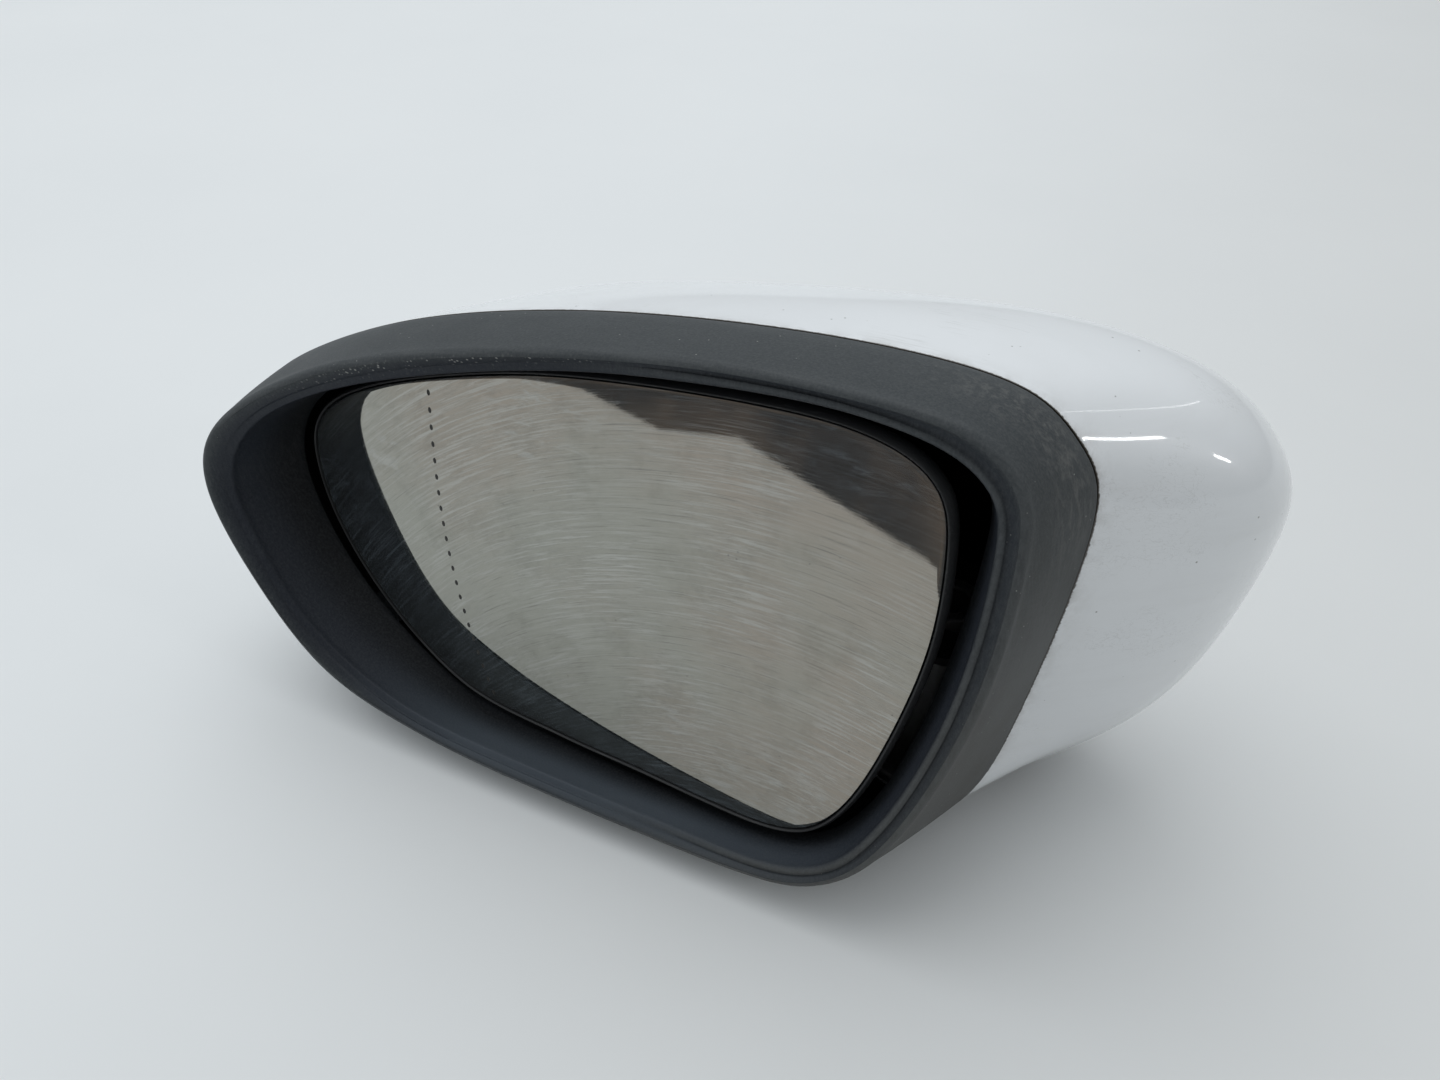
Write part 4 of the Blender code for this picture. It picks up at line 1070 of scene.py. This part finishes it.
def pivot_flange():
    """Hollow pivot post with its flange: fillets, bore chamfers and countersunk screw holes."""
    post = [(5.6, 64.0), (8.3, 64.0), (8.8, 63.7), (9.0, 63.2), (9.0, 8.6), (9.4, 7.4), (10.4, 6.7)]
    plate = [(12.0, 6.4), (20.4, 5.75), (21.3, 5.5), (21.85, 4.9), (22.0, 4.3), (22.0, 2.1),
             (21.8, 1.65), (21.4, 1.5)]
    foot = [(11.2, 1.5), (10.6, 2.1), (7.4, 2.1), (6.8, 1.5), (5.6, 1.5), (5.0, 2.1), (5.0, 63.4)]
    obj = turned("pivot_flange", post + plate + foot, 128, FOLD_CENTRE)
    hole = [(0.01, 9), (4.4, 9), (4.4, 6.0), (2.7, 4.3), (2.7, 1.9), (3.1, 1.4), (3.1, -2), (0.01, -2)]
    cutters = []
    for i in range(SCREWS):
        angle = math.radians(90 + i * 360 / SCREWS)
        centre = FOLD_CENTRE + SCREW_CIRCLE * np.array((math.cos(angle), math.sin(angle)))
        cutters.append(turned("screw_hole_%d" % i, hole, 32, centre))
    carve(obj, *cutters)
    return complete(obj, "foot_pivot", "cast_alloy", ["fold_post"], sharp=30.0)


# -------------------------------- stage

def orbit_axes():
    """The viewpoint's right, up and back directions in the head frame."""
    flat = math.cos(VIEW_ELEVATION)
    back = np.array((math.sin(VIEW_AZIMUTH) * flat, math.sin(VIEW_ELEVATION),
                     math.cos(VIEW_AZIMUTH) * flat))
    right = np.array((math.cos(VIEW_AZIMUTH), 0.0, -math.sin(VIEW_AZIMUTH)))
    return right, np.cross(back, right), back


def camera():
    right, up, back = orbit_axes()
    data = bpy.data.cameras.new("camera")
    data.sensor_width = 36.0
    data.lens = LENS
    data.clip_start = 0.01
    obj = linked("camera", data)
    place = back * VIEW_DISTANCE + right * VIEW_SHIFT[0] + up * VIEW_SHIFT[1]
    turn = Matrix(np.column_stack([HEAD_AXES @ axis for axis in (right, up, back)]).tolist())
    obj.matrix_world = Matrix.Translation(Vector(from_head(place))) @ turn.to_4x4()
    bpy.context.scene.camera = obj


def area_light(name, place, target, size, power, colour=(1.0, 1.0, 1.0)):
    data = bpy.data.lights.new(name, "AREA")
    data.shape = "RECTANGLE"
    data.size, data.size_y = size
    data.energy = power
    data.color = colour
    obj = linked(name, data)
    obj.location = place
    obj.rotation_euler = (Vector(target) - Vector(place)).to_track_quat("-Z", "Y").to_euler()
    return obj


def floor():
    """Plain pale ground, with painted shade darkening it toward the inboard side."""
    bm = bmesh.new()
    bmesh.ops.create_grid(bm, x_segments=1, y_segments=1, size=FLOOR_HALF)
    mesh = bpy.data.meshes.new("floor")
    bm.to_mesh(mesh)
    bm.free()
    obj = linked("floor", mesh)
    pale = Finish("pale_floor", Roughness=0.6, Specular_IOR_Level=0.15)
    tone = pale.noise(5.0, 5.0, 0.55)
    bright = pale.mix(tone, (0.755, 0.775, 0.785), (0.805, 0.82, 0.825))
    shaded_side = pale.mix(tone, (0.63, 0.635, 0.63), (0.675, 0.68, 0.675))
    across = pale.add("ShaderNodeSeparateXYZ", {0: pale.place})
    # Painted shade: the floor darkens toward the inboard side.
    pale.set("Base Color", pale.mix(pale.fit(across.outputs["X"], -0.25, 0.45), bright, shaded_side))
    pale.set("Normal", pale.bump(pale.noise(160.0, 4.0), 0.05, 0.0002))
    mesh.materials.append(pale.material)


def world_light():
    """Soft light all round: bright over the window's side, dim where the room lies."""
    world = bpy.data.worlds.new("studio")
    bpy.context.scene.world = world
    world.use_nodes = True
    sky = Nodes(world.node_tree, "Generated")
    toward = sky.add("ShaderNodeVectorMath", {0: sky.place, 1: unit((-0.45, 0.16, 0.88))},
                     operation="DOT_PRODUCT")
    share = sky.fit(toward.outputs["Value"], -0.75, 0.95)
    background = sky.tree.nodes["Background"]
    sky.feed(background.inputs["Color"], sky.mix(share, (0.17, 0.165, 0.155), (0.92, 0.97, 1.0)))
    background.inputs["Strength"].default_value = WORLD_STRENGTH


def room_wall():
    """The dim room past the table's edge, there for the glass and the glossy skins to mirror."""
    verts = [(x, y, z) for z in (0.001, ROOM_HEIGHT) for x, y in ROOM_EDGE]
    count = len(ROOM_EDGE)
    faces = [(i, i + 1, count + i + 1, count + i) for i in range(count - 1)]
    obj = mesh_object("room_wall", verts, faces)
    dim = Finish("room_wall", Roughness=0.9, Specular_IOR_Level=0.0, Emission_Strength=1.0)
    dim.set("Base Color", (0.0, 0.0, 0.0))
    tone = dim.fit(dim.noise(4.0, 4.0, 0.6), 0.35, 0.65)
    dim.set("Emission Color", dim.mix(tone, (0.072, 0.077, 0.084), (0.185, 0.170, 0.158)))
    obj.data.materials.append(dim.material)
    obj.visible_camera = False
    obj.visible_diffuse = False
    obj.visible_shadow = False


def tube_lamp(name, azimuth, elevation, size, roll, power):
    """A narrow lamp in a given direction from the cap, which shows it as a crisp highlight."""
    a = math.radians(azimuth)
    e = math.radians(elevation)
    toward = Vector((math.cos(a) * math.cos(e), math.sin(a) * math.cos(e), math.sin(e)))
    place = Vector(TUBE_TARGET) + TUBE_DISTANCE * toward
    obj = area_light(name, place, TUBE_TARGET, size, power)
    obj.rotation_euler.rotate_axis("Z", math.radians(roll))


def lights():
    world_light()
    room_wall()
    area_light("window", WINDOW_PLACE, TABLE_TARGET, WINDOW_SIZE, WINDOW_POWER, (0.975, 0.988, 1.0))
    for name, setting in TUBES.items():
        tube_lamp(name, *setting)


def studio():
    bpy.context.scene.view_settings.view_transform = "Standard"
    camera()
    floor()
    lights()


studio()
dress_frame()
front_bezel()
painted_cap()
lower_housing()
joint_tongue()
mirror_glass()
asphere_marks()
glass_holder()
pivot_flange()
